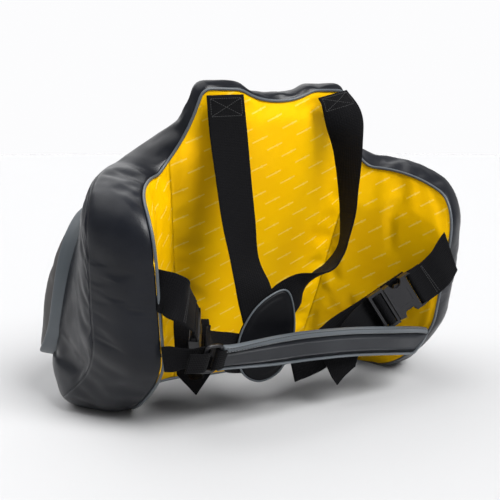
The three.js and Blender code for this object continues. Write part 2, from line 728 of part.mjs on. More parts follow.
strap('strap_tail_left', [
  ...localRoute(BUCKLES.left, [...threaded, [72, 6.5]]),
  { at: [-115, -36, 62], wide: [0.9, 0.1, 0.1] },
  { at: [-115, -24, 74], wide: [0.95, -0.2, 0.1] },
  { at: [-120, -20, 98], wide: [0.88, -0.47, 0] },
  { at: [-122, -21, 113], wide: [0.88, -0.47, 0] },
  { at: [-125, -26.5, 117], wide: [0.88, -0.47, 0] },
  { at: [-127, -31, 106], wide: [0.88, -0.47, 0] },
  { at: [-125, -31, 68], wide: [0.88, -0.47, 0] },
  { at: [-122, -31, 30], wide: [0.88, -0.47, 0] },
], 46, { width: THREADED_WIDTH, thickness: THREAD, point: TAIL_POINT });

// ---- Waist belt --------------------------------------------------------------------------------------

const BELT_FACE = 25;
const BELT_THICKNESS = 5;
const BINDING = 4.4;
const RING_BAR = 2;
const RING_REACH = 16;             // between the two long bars
const RING_TALL = 36;              // between the two short bars
const BELT_WEBBING_WIDTH = 27;
const RING = { at: [-134, -113, 97], along: [1, 0.02, -0.04], across: [0.42, -0.42, 0.8] };

const beltRoute = [
  ...localRoute(RING, [[9, 0], [24, 0]]),
  { at: [-60, -111, 95], wide: [0.1, -0.1, 0.95] },
  { at: [-16, -107, 93], wide: upwards },
  { at: [44, -102, 88], wide: upwards },
  { at: [104, -97, 80], wide: upwards },
  { at: [150, -84, 71], wide: [0, 0.1, 0.95] },
  { at: [171, -80, 66], wide: [0, 0.2, 0.9] },
];

const BELT_SPANS = 22;
const bindingShift = BELT_FACE / 2 + GAP + BINDING / 2;
const binding = { width: BINDING, thickness: BELT_THICKNESS + 1 };
strap('belt_panel', beltRoute, BELT_SPANS, { width: BELT_FACE, thickness: BELT_THICKNESS }, blackLeather);
strap('belt_binding_upper', beltRoute, BELT_SPANS, { ...binding, shift: bindingShift }, greyTrim);
strap('belt_binding_lower', beltRoute, BELT_SPANS, { ...binding, shift: -bindingShift }, greyTrim);

strap('belt_ring_loop', localRoute(RING, [
  [7, 2.2], [3, 3.8], [-2.6, 3.3], [-4.2, 0], [-2.6, -3.3], [3, -3.8], [7, -2.2],
]), 18, { width: BELT_WEBBING_WIDTH, thickness: 1.2 });

strap('belt_webbing_left', [
  { at: [-187, -93, 98], wide: [0.1, -0.1, 1] },
  { at: [-178, -104, 100], wide: [0.4, -0.4, 0.82] },
  ...localRoute(RING, [[-31, -4.6], [-22, -5.4], [-14, -5], [-11.4, 0], [-14, 5], [-22, 5.4], [-36, 4]]),
], 26, { width: BELT_WEBBING_WIDTH, thickness: 1.4 });

// Rounded rectangle of bar stock; the belt side bar is the pivot.
function ringGeometry() {
  const corner = 4;
  const outline = new THREE.Shape();
  outline.moveTo(0, -RING_TALL / 2 + corner);
  outline.lineTo(0, RING_TALL / 2 - corner);
  outline.quadraticCurveTo(0, RING_TALL / 2, -corner, RING_TALL / 2);
  outline.lineTo(-RING_REACH + corner, RING_TALL / 2);
  outline.quadraticCurveTo(-RING_REACH, RING_TALL / 2, -RING_REACH, RING_TALL / 2 - corner);
  outline.lineTo(-RING_REACH, -RING_TALL / 2 + corner);
  outline.quadraticCurveTo(-RING_REACH, -RING_TALL / 2, -RING_REACH + corner, -RING_TALL / 2);
  outline.lineTo(-corner, -RING_TALL / 2);
  outline.quadraticCurveTo(0, -RING_TALL / 2, 0, -RING_TALL / 2 + corner);
  const path = outline.getPoints(4).slice(0, -1);
  const lift = (p) => new THREE.Vector3(p.x, p.y, 0);
  const out = new THREE.Vector3(0, 0, 1);
  return barSolid(path.map((p, i) => {
    const ahead = path[(i + 1) % path.length];
    return roundSection(lift(p), lift(ahead), lift(path.at(i - 1)), out, RING_BAR, 8);
  }), true);
}

addMesh('belt_ring', placed(ringGeometry(), RING.at, RING.along, RING.across), blackPlastic);

export default model;
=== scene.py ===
"""Looks of the wearable kick shield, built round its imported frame.

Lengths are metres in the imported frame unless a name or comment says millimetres.
The padded shell, the straps and the belt follow the same pattern and routes as the CAD part.
"""
import math
from contextlib import contextmanager
from functools import partial

import bmesh
import bpy
import numpy as np
from mathutils import Matrix, Vector, noise


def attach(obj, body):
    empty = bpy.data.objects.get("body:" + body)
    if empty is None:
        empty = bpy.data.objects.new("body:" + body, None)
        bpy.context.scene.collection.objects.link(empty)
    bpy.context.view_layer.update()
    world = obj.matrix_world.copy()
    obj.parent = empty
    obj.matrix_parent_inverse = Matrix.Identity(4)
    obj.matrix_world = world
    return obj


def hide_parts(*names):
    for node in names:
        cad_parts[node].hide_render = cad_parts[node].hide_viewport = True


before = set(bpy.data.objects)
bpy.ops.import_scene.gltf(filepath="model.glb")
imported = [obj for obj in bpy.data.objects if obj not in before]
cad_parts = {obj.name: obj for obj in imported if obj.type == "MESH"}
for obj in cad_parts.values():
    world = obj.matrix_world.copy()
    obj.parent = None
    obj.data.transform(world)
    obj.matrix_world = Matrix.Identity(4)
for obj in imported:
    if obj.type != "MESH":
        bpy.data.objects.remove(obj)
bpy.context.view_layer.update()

MM = 0.001
PATTERN_ORIGIN = np.array([0.0, 25.17, 4.0])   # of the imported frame, in the pattern's millimetres

# ------------ materials


def node_material(name, colour, roughness, metallic=0.0, specular=0.5):
    """A new material and the tools to add nodes to it."""
    material = bpy.data.materials.new(name)
    material.use_nodes = True
    tree = material.node_tree
    shader = tree.nodes["Principled BSDF"]
    shader.inputs["Base Color"].default_value = (*colour, 1.0)
    shader.inputs["Roughness"].default_value = roughness
    shader.inputs["Metallic"].default_value = metallic
    shader.inputs["Specular IOR Level"].default_value = specular
    return material, tree, shader


def feed(tree, socket, value):
    """Links a socket into another, or sets its value."""
    if isinstance(value, bpy.types.NodeSocket):
        tree.links.new(value, socket)
    else:
        socket.default_value = value


def add(tree, kind, **inputs):
    """A node of that kind, with its inputs set to values or linked from sockets."""
    node = tree.nodes.new(kind)
    for key, value in inputs.items():
        feed(tree, node.inputs[int(key[1:]) if key[0] == "_" else key.replace("_", " ")], value)
    return node


def maths(tree, operation, first, second=0.0):
    node = add(tree, "ShaderNodeMath", _0=first, _1=second)
    node.operation = operation
    return node.outputs[0]


def bump(tree, shader, layers):
    """Stacks (height socket, strength, distance in metres) bumps on a shader."""
    normal = None
    for height, strength, distance in layers:
        node = add(tree, "ShaderNodeBump", Height=height, Strength=strength, Distance=distance)
        if normal:
            tree.links.new(normal, node.inputs["Normal"])
        normal = node.outputs["Normal"]
    tree.links.new(normal, shader.inputs["Normal"])


def object_noise(tree, scale, detail=2.0, stretch=(1, 1, 1)):
    """Noise in the frame's metres; scale is in repeats per metre."""
    place = tree.nodes.new("ShaderNodeTexCoord").outputs["Object"]
    mapped = add(tree, "ShaderNodeMapping", Vector=place, Scale=stretch).outputs[0]
    return add(tree, "ShaderNodeTexNoise", Vector=mapped, Scale=scale, Detail=detail).outputs["Fac"]


def ranged(tree, value, low, high, to_low, to_high):
    return add(tree, "ShaderNodeMapRange", Value=value, From_Min=low, From_Max=high,
               To_Min=to_low, To_Max=to_high).outputs[0]


def mixed(tree, factor, first, second):
    """Blends two colours by a factor socket."""
    node = tree.nodes.new("ShaderNodeMix")
    node.data_type = "RGBA"
    feed(tree, node.inputs[0], factor)
    for socket, colour in ((node.inputs[6], first), (node.inputs[7], second)):
        feed(tree, socket, (*colour, 1.0) if isinstance(colour, tuple) else colour)
    return node.outputs[2]


def leather(name, colour, worn, roughness, grain=900.0, depth=0.00012, specular=0.45):
    """Satin artificial leather: pebble grain, soft creases and slightly worn, paler patches."""
    material, tree, shader = node_material(name, colour, roughness, specular=specular)
    place = tree.nodes.new("ShaderNodeTexCoord").outputs["Object"]
    pebbles = add(tree, "ShaderNodeTexVoronoi", Vector=place, Scale=grain).outputs["Distance"]
    creases = object_noise(tree, 38.0, 3.0)
    patches = object_noise(tree, 9.0, 4.0)
    tone = ranged(tree, patches, 0.42, 0.72, 0.0, 1.0)
    tree.links.new(mixed(tree, tone, colour, worn), shader.inputs["Base Color"])
    rough = ranged(tree, object_noise(tree, 55.0, 3.0), 0.3, 0.7, roughness - 0.06, roughness + 0.08)
    tree.links.new(rough, shader.inputs["Roughness"])
    bump(tree, shader, [(creases, 0.25, 0.0012), (pebbles, 0.5, depth)])
    return material


def mark_pattern(tree):
    """A sparse field of small slanted dashes with a dot; the cloth's UV is its flat pattern in decimetres."""
    across_pitch, up_pitch, dash, thick = 0.42, 0.165, 0.105, 0.009
    row_shift, dot_at, dot_radius_squared = across_pitch * 0.37, dash * 0.35, 0.00028
    slant = (0, 0, math.radians(-25))
    do = partial(maths, tree)
    uv = tree.nodes.new("ShaderNodeUVMap").outputs[0]
    turned = add(tree, "ShaderNodeMapping", Vector=uv, Rotation=slant).outputs[0]
    across, up, _ = add(tree, "ShaderNodeSeparateXYZ", Vector=turned).outputs
    row = do("FLOOR", do("DIVIDE", up, up_pitch))
    along = do("ADD", across, do("MULTIPLY", row, row_shift))
    x = do("SUBTRACT", do("FLOORED_MODULO", along, across_pitch), across_pitch / 2)
    y = do("SUBTRACT", do("FLOORED_MODULO", up, up_pitch), up_pitch / 2)
    bar = do("MULTIPLY", do("LESS_THAN", do("ABSOLUTE", x), dash), do("LESS_THAN", do("ABSOLUTE", y), thick))
    far = do("ADD", do("POWER", do("SUBTRACT", x, dot_at), 2.0), do("POWER", y, 2.0))
    return do("MAXIMUM", bar, do("LESS_THAN", far, dot_radius_squared))


def lining_cloth():
    """Bright yellow coated nylon with a faint tonal print and a fine plain weave."""
    yellow, pale, deep = (1.0, 0.565, 0.0), (1.0, 0.76, 0.16), (0.96, 0.51, 0.0)
    material, tree, shader = node_material("yellow_lining", yellow, 0.5, specular=0.08)
    tone = ranged(tree, object_noise(tree, 14.0, 4.0), 0.35, 0.7, 0.0, 1.0)
    ground = mixed(tree, tone, yellow, deep)
    print_strength = maths(tree, "MULTIPLY", mark_pattern(tree), 0.42)
    tree.links.new(mixed(tree, print_strength, ground, pale), shader.inputs["Base Color"])
    uv = tree.nodes.new("ShaderNodeUVMap").outputs[0]
    weave = add(tree, "ShaderNodeTexWave", Vector=uv, Scale=36.0).outputs["Fac"]
    bump(tree, shader, [(object_noise(tree, 26.0, 4.0), 0.35, 0.0022), (weave, 0.15, 0.00006)])
    return material


def webbing_cloth():
    """Black woven polypropylene: ribs across the strap and columns along it; its UV is in metres."""
    column_pitch, rib_pitch = 0.0030, 0.0018
    material, tree, shader = node_material("black_webbing", (0.006, 0.006, 0.007), 0.7, specular=0.07)
    do = partial(maths, tree)
    uv = tree.nodes.new("ShaderNodeUVMap").outputs[0]
    across, along, _ = add(tree, "ShaderNodeSeparateXYZ", Vector=uv).outputs
    columns = do("SINE", do("MULTIPLY", across, 2 * math.pi / column_pitch))
    ribs = do("SINE", do("ADD", do("MULTIPLY", along, 2 * math.pi / rib_pitch), columns))
    fuzz = object_noise(tree, 700.0, 2.0)
    # painted shade: the colour is darker in the hollows between the ribs and lighter on their crests, with
    # random fuzz on top
    tone = ranged(tree, do("ADD", ribs, fuzz), -1.0, 2.0, 0.0, 1.0)
    ground = mixed(tree, tone, (0.001, 0.001, 0.0015), (0.005, 0.005, 0.006))
    tree.links.new(ground, shader.inputs["Base Color"])
    shader.inputs["Sheen Weight"].default_value = 0.02
    shader.inputs["Sheen Roughness"].default_value = 0.5
    height = do("ADD", do("MULTIPLY", ribs, 0.6), do("MULTIPLY", columns, 0.4))
    bump(tree, shader, [(height, 0.8, 0.00028), (fuzz, 0.2, 0.0002)])
    return material


def moulded_plastic():
    """Black acetal with a fine spark-eroded finish."""
    material, tree, shader = node_material("buckle_plastic", (0.007, 0.007, 0.009), 0.4)
    grain = object_noise(tree, 1600.0, 2.0)
    smear = ranged(tree, object_noise(tree, 60.0, 3.0), 0.3, 0.7, 0.32, 0.46)
    tree.links.new(smear, shader.inputs["Roughness"])
    bump(tree, shader, [(grain, 0.25, 0.00008)])
    return material


def sewing_thread(name, colour):
    material, tree, shader = node_material(name, colour, 0.6)
    bump(tree, shader, [(object_noise(tree, 2500.0), 0.5, 0.0001)])
    return material


bpy.context.scene.view_settings.view_transform = "Standard"

YELLOW = lining_cloth()
BLACK = leather("black_leather", (0.0018, 0.0026, 0.0055), (0.0055, 0.0068, 0.0110), 0.35, specular=0.28)
CROSS_BLACK = leather("cross_pad_leather", (0.0012, 0.0015, 0.0025), (0.0035, 0.0040, 0.0055), 0.45,
                      specular=0.14)
PAD_FACE = leather("pad_face_leather", (0.060, 0.057, 0.057), (0.080, 0.076, 0.075), 0.6, grain=1500.0,
                   specular=0.3)
GREY = leather("grey_trim_leather", (0.070, 0.082, 0.092), (0.10, 0.112, 0.124), 0.38, grain=1300.0,
               depth=0.00008)
WEBBING = webbing_cloth()
PLASTIC = moulded_plastic()
DARK_THREAD = sewing_thread("dark_thread", (0.006, 0.006, 0.007))
GREY_THREAD = sewing_thread("grey_thread", (0.16, 0.17, 0.18))

# ------------ mesh helpers


def linked(name, data):
    obj = bpy.data.objects.new(name, data)
    bpy.context.scene.collection.objects.link(obj)
    return obj


def mesh_object(name, points, faces, material, uv=None, smooth=True):
    """A linked object from points, faces and, if given, one UV for each point."""
    mesh = bpy.data.meshes.new(name)
    mesh.from_pydata([tuple(p) for p in points], [], [tuple(int(i) for i in f) for f in faces])
    mesh.materials.append(material)
    mesh.update()
    if uv is not None:
        layer = mesh.uv_layers.new(name="UVMap")
        index = np.zeros(len(mesh.loops), int)
        mesh.loops.foreach_get("vertex_index", index)
        layer.data.foreach_set("uv", np.asarray(uv, float)[index].ravel())
    if smooth:
        mesh.shade_smooth()
    return linked(name, mesh)


def loft_faces(rings, sides, base=0, closed=False):
    """Faces between neighbouring rings of points, with a cap at each end unless the last meets the first."""
    faces = []
    for i in range(rings if closed else rings - 1):
        near, far = base + i * sides, base + (i + 1) % rings * sides
        for k in range(sides):
            m = (k + 1) % sides
            faces.append((near + k, near + m, far + m, far + k))
    if not closed:
        faces.append(tuple(range(base, base + sides))[::-1])
        faces.append(tuple(range(base + (rings - 1) * sides, base + rings * sides)))
    return faces


def grid_cells(columns, rows):
    """Each cell's column and its four corners, where a grid's points are numbered up each column in turn."""
    for i in range(columns):
        for j in range(rows):
            a, b = i * (rows + 1) + j, (i + 1) * (rows + 1) + j
            yield i, a, b, b + 1, a + 1


@contextmanager
def edited(mesh):
    """The mesh, open for edits that are written back to it."""
    work = bmesh.new()
    work.from_mesh(mesh)
    yield work
    work.to_mesh(mesh)
    work.free()


def face_outwards(mesh):
    with edited(mesh) as work:
        bmesh.ops.recalc_face_normals(work, faces=work.faces)


def modifier(obj, kind, **settings):
    made = obj.modifiers.new(kind.lower(), kind)
    for key, value in settings.items():
        setattr(made, key, value)
    return made


def bake_modifiers(obj):
    """Replaces the object's mesh with its evaluated one."""
    evaluated = obj.evaluated_get(bpy.context.evaluated_depsgraph_get())
    mesh = bpy.data.meshes.new_from_object(evaluated)
    obj.modifiers.clear()
    obj.data = mesh
    return obj


def subdivided(obj):
    modifier(obj, "SUBSURF", levels=1, render_levels=1)
    bake_modifiers(obj).data.shade_smooth()
    return obj


def stand_in(obj, body, slot_name, *cad_nodes):
    """Puts a piece on its body, in place of those CAD nodes."""
    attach(obj, body)
    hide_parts(*cad_nodes)
    return obj


def coordinates(obj):
    co = np.zeros(len(obj.data.vertices) * 3)
    obj.data.vertices.foreach_get("co", co)
    return co.reshape(-1, 3)


def unit(v):
    return v / np.maximum(np.linalg.norm(v, axis=-1, keepdims=True), 1e-12)


def wobble(places, scale, seed=0.0):
    """Smooth noise from -1 to 1 at each place; scale is in repeats per unit."""
    return np.array([noise.noise(Vector(p * scale) + Vector((seed, 0, 0))) for p in places])


def run_along(line):
    """Distance along a line from its first point to each of its points."""
    return np.concatenate([[0], np.cumsum(np.linalg.norm(np.diff(line, axis=0), axis=1))])


def at_run(mark, run, line):
    return np.array([np.interp(mark, run, line[:, a]) for a in range(3)])


def tube(name, line, radius, sides, material, ups):
    """A round bar along a closed line of points; ups is a direction across it, one or one for each point."""
    line = np.asarray(line, float)
    along = unit(np.roll(line, -1, 0) - np.roll(line, 1, 0))
    up = unit(ups - along * np.sum(ups * along, -1, keepdims=True))
    across = np.cross(along, up)
    angles = 2 * np.pi * np.arange(sides) / sides
    rings = (line[:, None] + up[:, None] * (radius * np.cos(angles))[None, :, None]
             + across[:, None] * (radius * np.sin(angles))[None, :, None])
    return mesh_object(name, rings.reshape(-1, 3), loft_faces(len(line), sides, closed=True), material)


# shares of a stitch's length and radius
STITCH_PROFILE = [(-0.5, 0.25), (-0.36, 1.0), (0.0, 1.15), (0.36, 1.0), (0.5, 0.25)]
STITCH_SIDES, STITCH_FLATTENED = 6, 1.3


def stitches(name, line, normals, material, pitch, length, radius):
    """A row of sewing stitches on the shield: short rounded bars of thread, spaced along a line."""
    run = run_along(line)
    points, faces = [], []
    for mark in np.arange(pitch / 2, run[-1] - pitch / 4, pitch):
        centre = at_run(mark, run, line)
        normal = unit(at_run(mark, run, normals))
        along = unit(at_run(mark + pitch / 3, run, line) - at_run(mark - pitch / 3, run, line))
        side = np.cross(along, normal)
        faces += loft_faces(len(STITCH_PROFILE), STITCH_SIDES, len(points))
        for step, width in STITCH_PROFILE:
            for k in range(STITCH_SIDES):
                angle = 2 * math.pi * k / STITCH_SIDES
                points.append(centre + along * step * length
                              + side * radius * width * math.cos(angle) * STITCH_FLATTENED
                              + normal * radius * width * math.sin(angle))
    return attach(mesh_object(name, points, faces, material), "shield")


# ------------ the shell's pattern, in millimetres

CHEST_UP, NECK_UP, NECK_HALF, CHEST_HALF = 385, 372, 48, 96
SEAM_TOP = (131, 303)
ARMHOLE, SHOULDER_OF_WING = (152, 289), (257, 284)
WING_ACROSS, TIP_TOP_UP, TIP_FOOT_UP, FOOT_ACROSS = 284, 228, 138, 127
SEAM_FOOT, SEAM_SPREAD = 88, 43 / 300
CENTRE_RADIUS, FOLD_ANGLE, FOLD_LENGTH, WING_RADIUS = 1400, math.radians(46), 50, 168
LEAN, BACK_PLANE_Y, SHELL_UP, REST_UP = math.radians(15.7), 100, 3.5, 4
SKIRT_FLARE, SKIRT_UP, SKIRT_FROM, SKIRT_WIDTH = 35, 130, 60, 100
WING_TWIST, WING_SPAN, WING_MIDDLE_UP = 9, 150, 150
CHEST_RIM, WAIST_PAD, PAD_THINS_UP = 28, 62, 250
HIP_PAD, HIP_ACROSS, HIP_SPREAD, HIP_SWELLS, HIP_FADES = 42, 172, 55, (-20, 70), (110, 290)
TIP_SETBACK, SETBACK_FROM, SETBACK_TO = 48, 140, 324


def ramp(value, low, high):
    t = np.clip((value - low) / (high - low), 0, 1)
    return t * t * (3 - 2 * t)


def padding_at(across, up):
    base = WAIST_PAD + (CHEST_RIM - WAIST_PAD) * ramp(up, PAD_THINS_UP, CHEST_UP)
    bulge = np.exp(-(((across - HIP_ACROSS) / HIP_SPREAD) ** 2))
    return base + HIP_PAD * bulge * ramp(up, *HIP_SWELLS) * (1 - ramp(up, *HIP_FADES))


def padding_of(pattern):
    return padding_at(np.abs(pattern[..., 0]), pattern[..., 1])


def bend(across, up):
    """Plan position of the sheet and how far it has turned round the wearer."""
    fold_start = SEAM_FOOT + SEAM_SPREAD * up - FOLD_LENGTH / 2
    bow = np.minimum(across, fold_start) / CENTRE_RADIUS
    fold_radius = FOLD_LENGTH / FOLD_ANGLE
    fold = np.clip(across - fold_start, 0, FOLD_LENGTH) / fold_radius - bow
    turn = fold + np.maximum(across - fold_start - FOLD_LENGTH, 0) / WING_RADIUS
    x, y = 0.0, 0.0
    arcs = (-CENTRE_RADIUS, 0.0, -bow), (fold_radius, -bow, fold), (WING_RADIUS, fold, turn)
    for radius, start, end in arcs:
        x = x + radius * (np.sin(end) - np.sin(start))
        y = y - radius * (np.cos(start) - np.cos(end))
    return x, y, turn


def shell(pattern, out, floor=0.0):
    """Points of the shell, in metres; pattern is (signed across, up) and out the depth from the lining."""
    pattern = np.asarray(pattern, float)
    side = np.where(pattern[..., 0] < 0, -1.0, 1.0)
    across, up = np.abs(pattern[..., 0]), pattern[..., 1]
    depth = out / padding_at(across, up)
    set_back = TIP_SETBACK * depth * ramp(across, SETBACK_FROM, SETBACK_TO)
    x, y, turn = bend(across - set_back, up)
    skirt = np.clip(1 - up / SKIRT_UP, 0, 1) ** 2
    flare = SKIRT_FLARE * skirt * np.clip((across - SKIRT_FROM) / SKIRT_WIDTH, 0, 1)
    wing = np.clip((across - SEAM_FOOT - SEAM_SPREAD * up) / WING_SPAN, 0, 1)
    offset = out + flare - WING_TWIST * wing * (up - WING_MIDDLE_UP) / WING_SPAN
    x = x + offset * np.sin(turn)
    y = y + offset * np.cos(turn)
    z = up * math.cos(LEAN) + y * math.sin(LEAN) + SHELL_UP
    y = BACK_PLANE_Y + y * math.cos(LEAN) - up * math.sin(LEAN)
    z = np.maximum(z, REST_UP + floor)
    return (np.stack([side * x, y, z], -1) - PATTERN_ORIGIN) * MM


def outline(*segments):
    """A function from 0..1 to points along lines (two points) and curves (three points)."""
    t = np.linspace(0, 1, 41)[:, None]
    pieces = []
    for points in segments:
        p = [np.array(q, float) for q in points]
        if len(p) == 2:
            pieces.append(p[0] + (p[1] - p[0]) * t)
        else:
            pieces.append(p[0] * (1 - t) ** 2 + p[1] * 2 * t * (1 - t) + p[2] * t ** 2)
    line = np.concatenate(pieces)
    run = run_along(line)
    run = run / run[-1] + np.arange(len(run)) * 1e-12

    def at(u):
        return np.stack([np.interp(u, run, line[:, 0]), np.interp(u, run, line[:, 1])], -1)
    return at


chest_edge = outline(
    ((0, NECK_UP), (NECK_HALF * 0.6, NECK_UP), (NECK_HALF, CHEST_UP)),
    ((NECK_HALF, CHEST_UP), (CHEST_HALF - 8, CHEST_UP)),
    ((CHEST_HALF - 8, CHEST_UP), (CHEST_HALF, CHEST_UP), (CHEST_HALF + 2, CHEST_UP - 10)),
    ((CHEST_HALF + 2, CHEST_UP - 10), (109, 325), SEAM_TOP))
centre_foot = outline(((0, 0), (SEAM_FOOT, 0)))
wing_edge = outline(
    (SEAM_TOP, (142, 292), ARMHOLE),
    (ARMHOLE, (205, 296), SHOULDER_OF_WING),
    (SHOULDER_OF_WING, (WING_ACROSS, 270), (WING_ACROSS, TIP_TOP_UP)))
wing_foot = outline(
    ((SEAM_FOOT, 0), (FOOT_ACROSS, 0)),
    ((FOOT_ACROSS, 0), (186, 0), (237, 62)),
    ((237, 62), (WING_ACROSS, 118), (WING_ACROSS, TIP_FOOT_UP)))

CENTRE_COLUMNS, WING_COLUMNS, ROWS = 24, 34, 54     # centre columns are counted from the middle


def pattern_grid():
    """Pattern points of the whole sheet, from the left wing tip to the right one, by row."""
    wing = np.linspace(1, 0, WING_COLUMNS + 1)
    centre = np.linspace(1, 0, CENTRE_COLUMNS + 1)[1:]
    foot = np.concatenate([wing_foot(wing), centre_foot(centre)])
    top = np.concatenate([wing_edge(wing), chest_edge(centre)])
    mirror = np.array([-1, 1])
    foot = np.concatenate([foot * mirror, foot[-2::-1]])
    top = np.concatenate([top * mirror, top[-2::-1]])
    v = np.linspace(0, 1, ROWS + 1)[None, :, None]
    return foot[:, None] * (1 - v) + top[:, None] * v


GRID = pattern_grid()
COLUMNS = GRID.shape[0] - 1
LEFT_SEAM, RIGHT_SEAM = WING_COLUMNS, COLUMNS - WING_COLUMNS


def border_indices():
    """(column, row) of the sheet's outline, once round: top, right tip, foot, left tip."""
    top = [(i, ROWS) for i in range(COLUMNS)]
    right = [(COLUMNS, j) for j in range(ROWS, 0, -1)]
    foot = [(i, 0) for i in range(COLUMNS, 0, -1)]
    left = [(0, j) for j in range(ROWS)]
    return top + right + foot + left


BORDER = border_indices()
BORDER_PATTERN = np.array([GRID[i, j] for i, j in BORDER])


def outward(loop, spread=5):
    """Outward normals of a clockwise closed outline, smoothed over a few stations."""
    along = np.roll(loop, -1, 0) - np.roll(loop, 1, 0)
    normal = unit(np.stack([-along[:, 1], along[:, 0]], -1))
    total = sum(np.roll(normal, k, 0) for k in range(-spread, spread + 1))
    return unit(total)


BORDER_NORMAL = outward(BORDER_PATTERN)
BORDER_RUN = run_along(BORDER_PATTERN)


def seam_distance(points):
    """Distances in the pattern, in millimetres, to the outline and to the nearer fold seam."""
    flat = points.reshape(-1, 2)
    near = np.full(len(flat), 1e9)
    for start in range(0, len(flat), 2000):
        gap = flat[start:start + 2000, None] - BORDER_PATTERN[None]
        near[start:start + 2000] = np.sqrt((gap ** 2).sum(-1)).min(1)
    fold = np.abs(np.abs(flat[:, 0]) - SEAM_FOOT - SEAM_SPREAD * flat[:, 1])
    return near.reshape(points.shape[:-1]), fold.reshape(points.shape[:-1])


EDGE_GAP, FOLD_GAP = seam_distance(GRID)

# ------------ the padded body

LINING_PUFF, FRONT_PUFF, GUSSET_PUFF = 4.0, 5.0, 6.5      # millimetres that each panel stands proud
GUSSET_STEPS = 12
GUSSET_KNEE, GUSSET_ARCH = 0.35, 0.75       # a share of the padding's depth, and the power of the arch
GUSSET_CREASES = [(0.055, 3.0, 1.4), (0.017, 8.0, 1.8)]     # repeats per millimetre, seed, height
HOLLOW_CREASES = 60         # millimetres; hollow stretches of the outline crease more
SKIN_THICKNESS = 0.0012     # metres
REGIONS = ("lining_left_wing", "lining_centre", "lining_right_wing",
           "front_cover_left_wing", "front_cover_centre", "front_cover_right_wing", "gussets")
GUSSETS = 6


def region_of_column(column):
    return 0 if column < LEFT_SEAM else 1 if column < RIGHT_SEAM else 2


def panel_puff(height, edge_width, fold_width, fold_share):
    """How far a padded panel bulges: nothing at the outline, less at the fold seams."""
    edge = 1 - np.exp(-EDGE_GAP / edge_width)
    fold = 1 - fold_share * np.exp(-(FOLD_GAP / fold_width) ** 1.5)
    return height * edge * fold


def creases(grid, seed, across_scale, up_scale):
    flat = grid.reshape(-1, 2)
    places = np.stack([flat[:, 0] * across_scale, flat[:, 1] * up_scale, np.zeros(len(flat))], -1)
    return wobble(places, 1.0, seed).reshape(grid.shape[:-1])


def gusset_points():
    """Rings of points between the lining's outline and the front's, bulging outwards with creases."""
    pad = padding_of(BORDER_PATTERN)
    hollow = np.maximum(0, -turning(BORDER_PATTERN)) * HOLLOW_CREASES
    rings = []
    for step in range(1, GUSSET_STEPS):
        t = step / GUSSET_STEPS
        arch = math.sin(math.pi * t) ** GUSSET_ARCH
        places = np.stack([BORDER_RUN, pad * t * GUSSET_KNEE, np.full(len(pad), t)], -1)
        crease = sum(wobble(places, scale, seed) * height for scale, seed, height in GUSSET_CREASES)
        bulge = arch * (GUSSET_PUFF + crease * (1 + hollow))
        pattern = BORDER_PATTERN + BORDER_NORMAL * bulge[:, None]
        rings.append(shell(pattern, pad * t))
    return np.concatenate(rings)


def turning(loop):
    """Signed bend of a closed outline at each station, per millimetre; hollow stretches are negative."""
    before, after = unit(loop - np.roll(loop, 3, 0)), unit(np.roll(loop, -3, 0) - loop)
    cross = before[:, 0] * after[:, 1] - before[:, 1] * after[:, 0]
    return -cross / np.maximum(np.linalg.norm(np.roll(loop, -3, 0) - loop, axis=1), 1)


def body_mesh():
    """The whole padded body as one closed mesh; a face's material index is its region."""
    puff = panel_puff(LINING_PUFF, 13, 9, fold_share=0.9) * (1 + 0.25 * creases(GRID, 1.0, 0.012, 0.012))
    ripple = creases(GRID, 5.0, 0.045, 0.016) * np.exp(-FOLD_GAP / 28) * (1 - np.exp(-EDGE_GAP / 10))
    lining = shell(GRID, -(puff + 1.1 * ripple))
    pad = padding_of(GRID)
    swell = panel_puff(FRONT_PUFF, 16, 8, fold_share=0.6) * (1 + 0.2 * creases(GRID, 9.0, 0.01, 0.01))
    front = shell(GRID, pad + swell)
    points = np.concatenate([lining.reshape(-1, 3), front.reshape(-1, 3), gusset_points()])
    size, height = (COLUMNS + 1) * (ROWS + 1), ROWS + 1
    faces, regions = [], []
    for i, a, b, c, d in grid_cells(COLUMNS, ROWS):
        faces += [(a, b, c, d), (size + a, size + d, size + c, size + b)]
        regions += [region_of_column(i), 3 + region_of_column(i)]
    stations = len(BORDER)

    def ring_index(step, station):
        i, j = BORDER[station]
        if step == 0:
            return i * height + j
        if step == GUSSET_STEPS:
            return size + i * height + j
        return 2 * size + (step - 1) * stations + station
    for step in range(GUSSET_STEPS):
        for s in range(stations):
            n = (s + 1) % stations
            faces.append((ring_index(step, s), ring_index(step, n),
                          ring_index(step + 1, n), ring_index(step + 1, s)))
            regions.append(GUSSETS)
    body = mesh_object("padded_body", points, faces, BLACK)
    for _ in REGIONS[1:]:
        body.data.materials.append(BLACK)
    body.data.polygons.foreach_set("material_index", np.array(regions, np.int32))
    face_outwards(body.data)
    write_pattern_uv(body, size)
    return body


def write_pattern_uv(body, size):
    """The flat pattern in decimetres; the right wing's cloth was cut on a different slant."""
    flat = GRID.reshape(-1, 2) / 100
    flat = np.concatenate([flat, flat, np.zeros((len(body.data.vertices) - 2 * size, 2))])
    layer = body.data.uv_layers.new(name="UVMap")
    turn = math.radians(-14)
    spin = np.array([[math.cos(turn), -math.sin(turn)], [math.sin(turn), math.cos(turn)]])
    for face in body.data.polygons:
        for loop, vertex in zip(face.loop_indices, face.vertices):
            uv = flat[vertex]
            layer.data[loop].uv = spin @ uv if face.material_index == 2 else uv


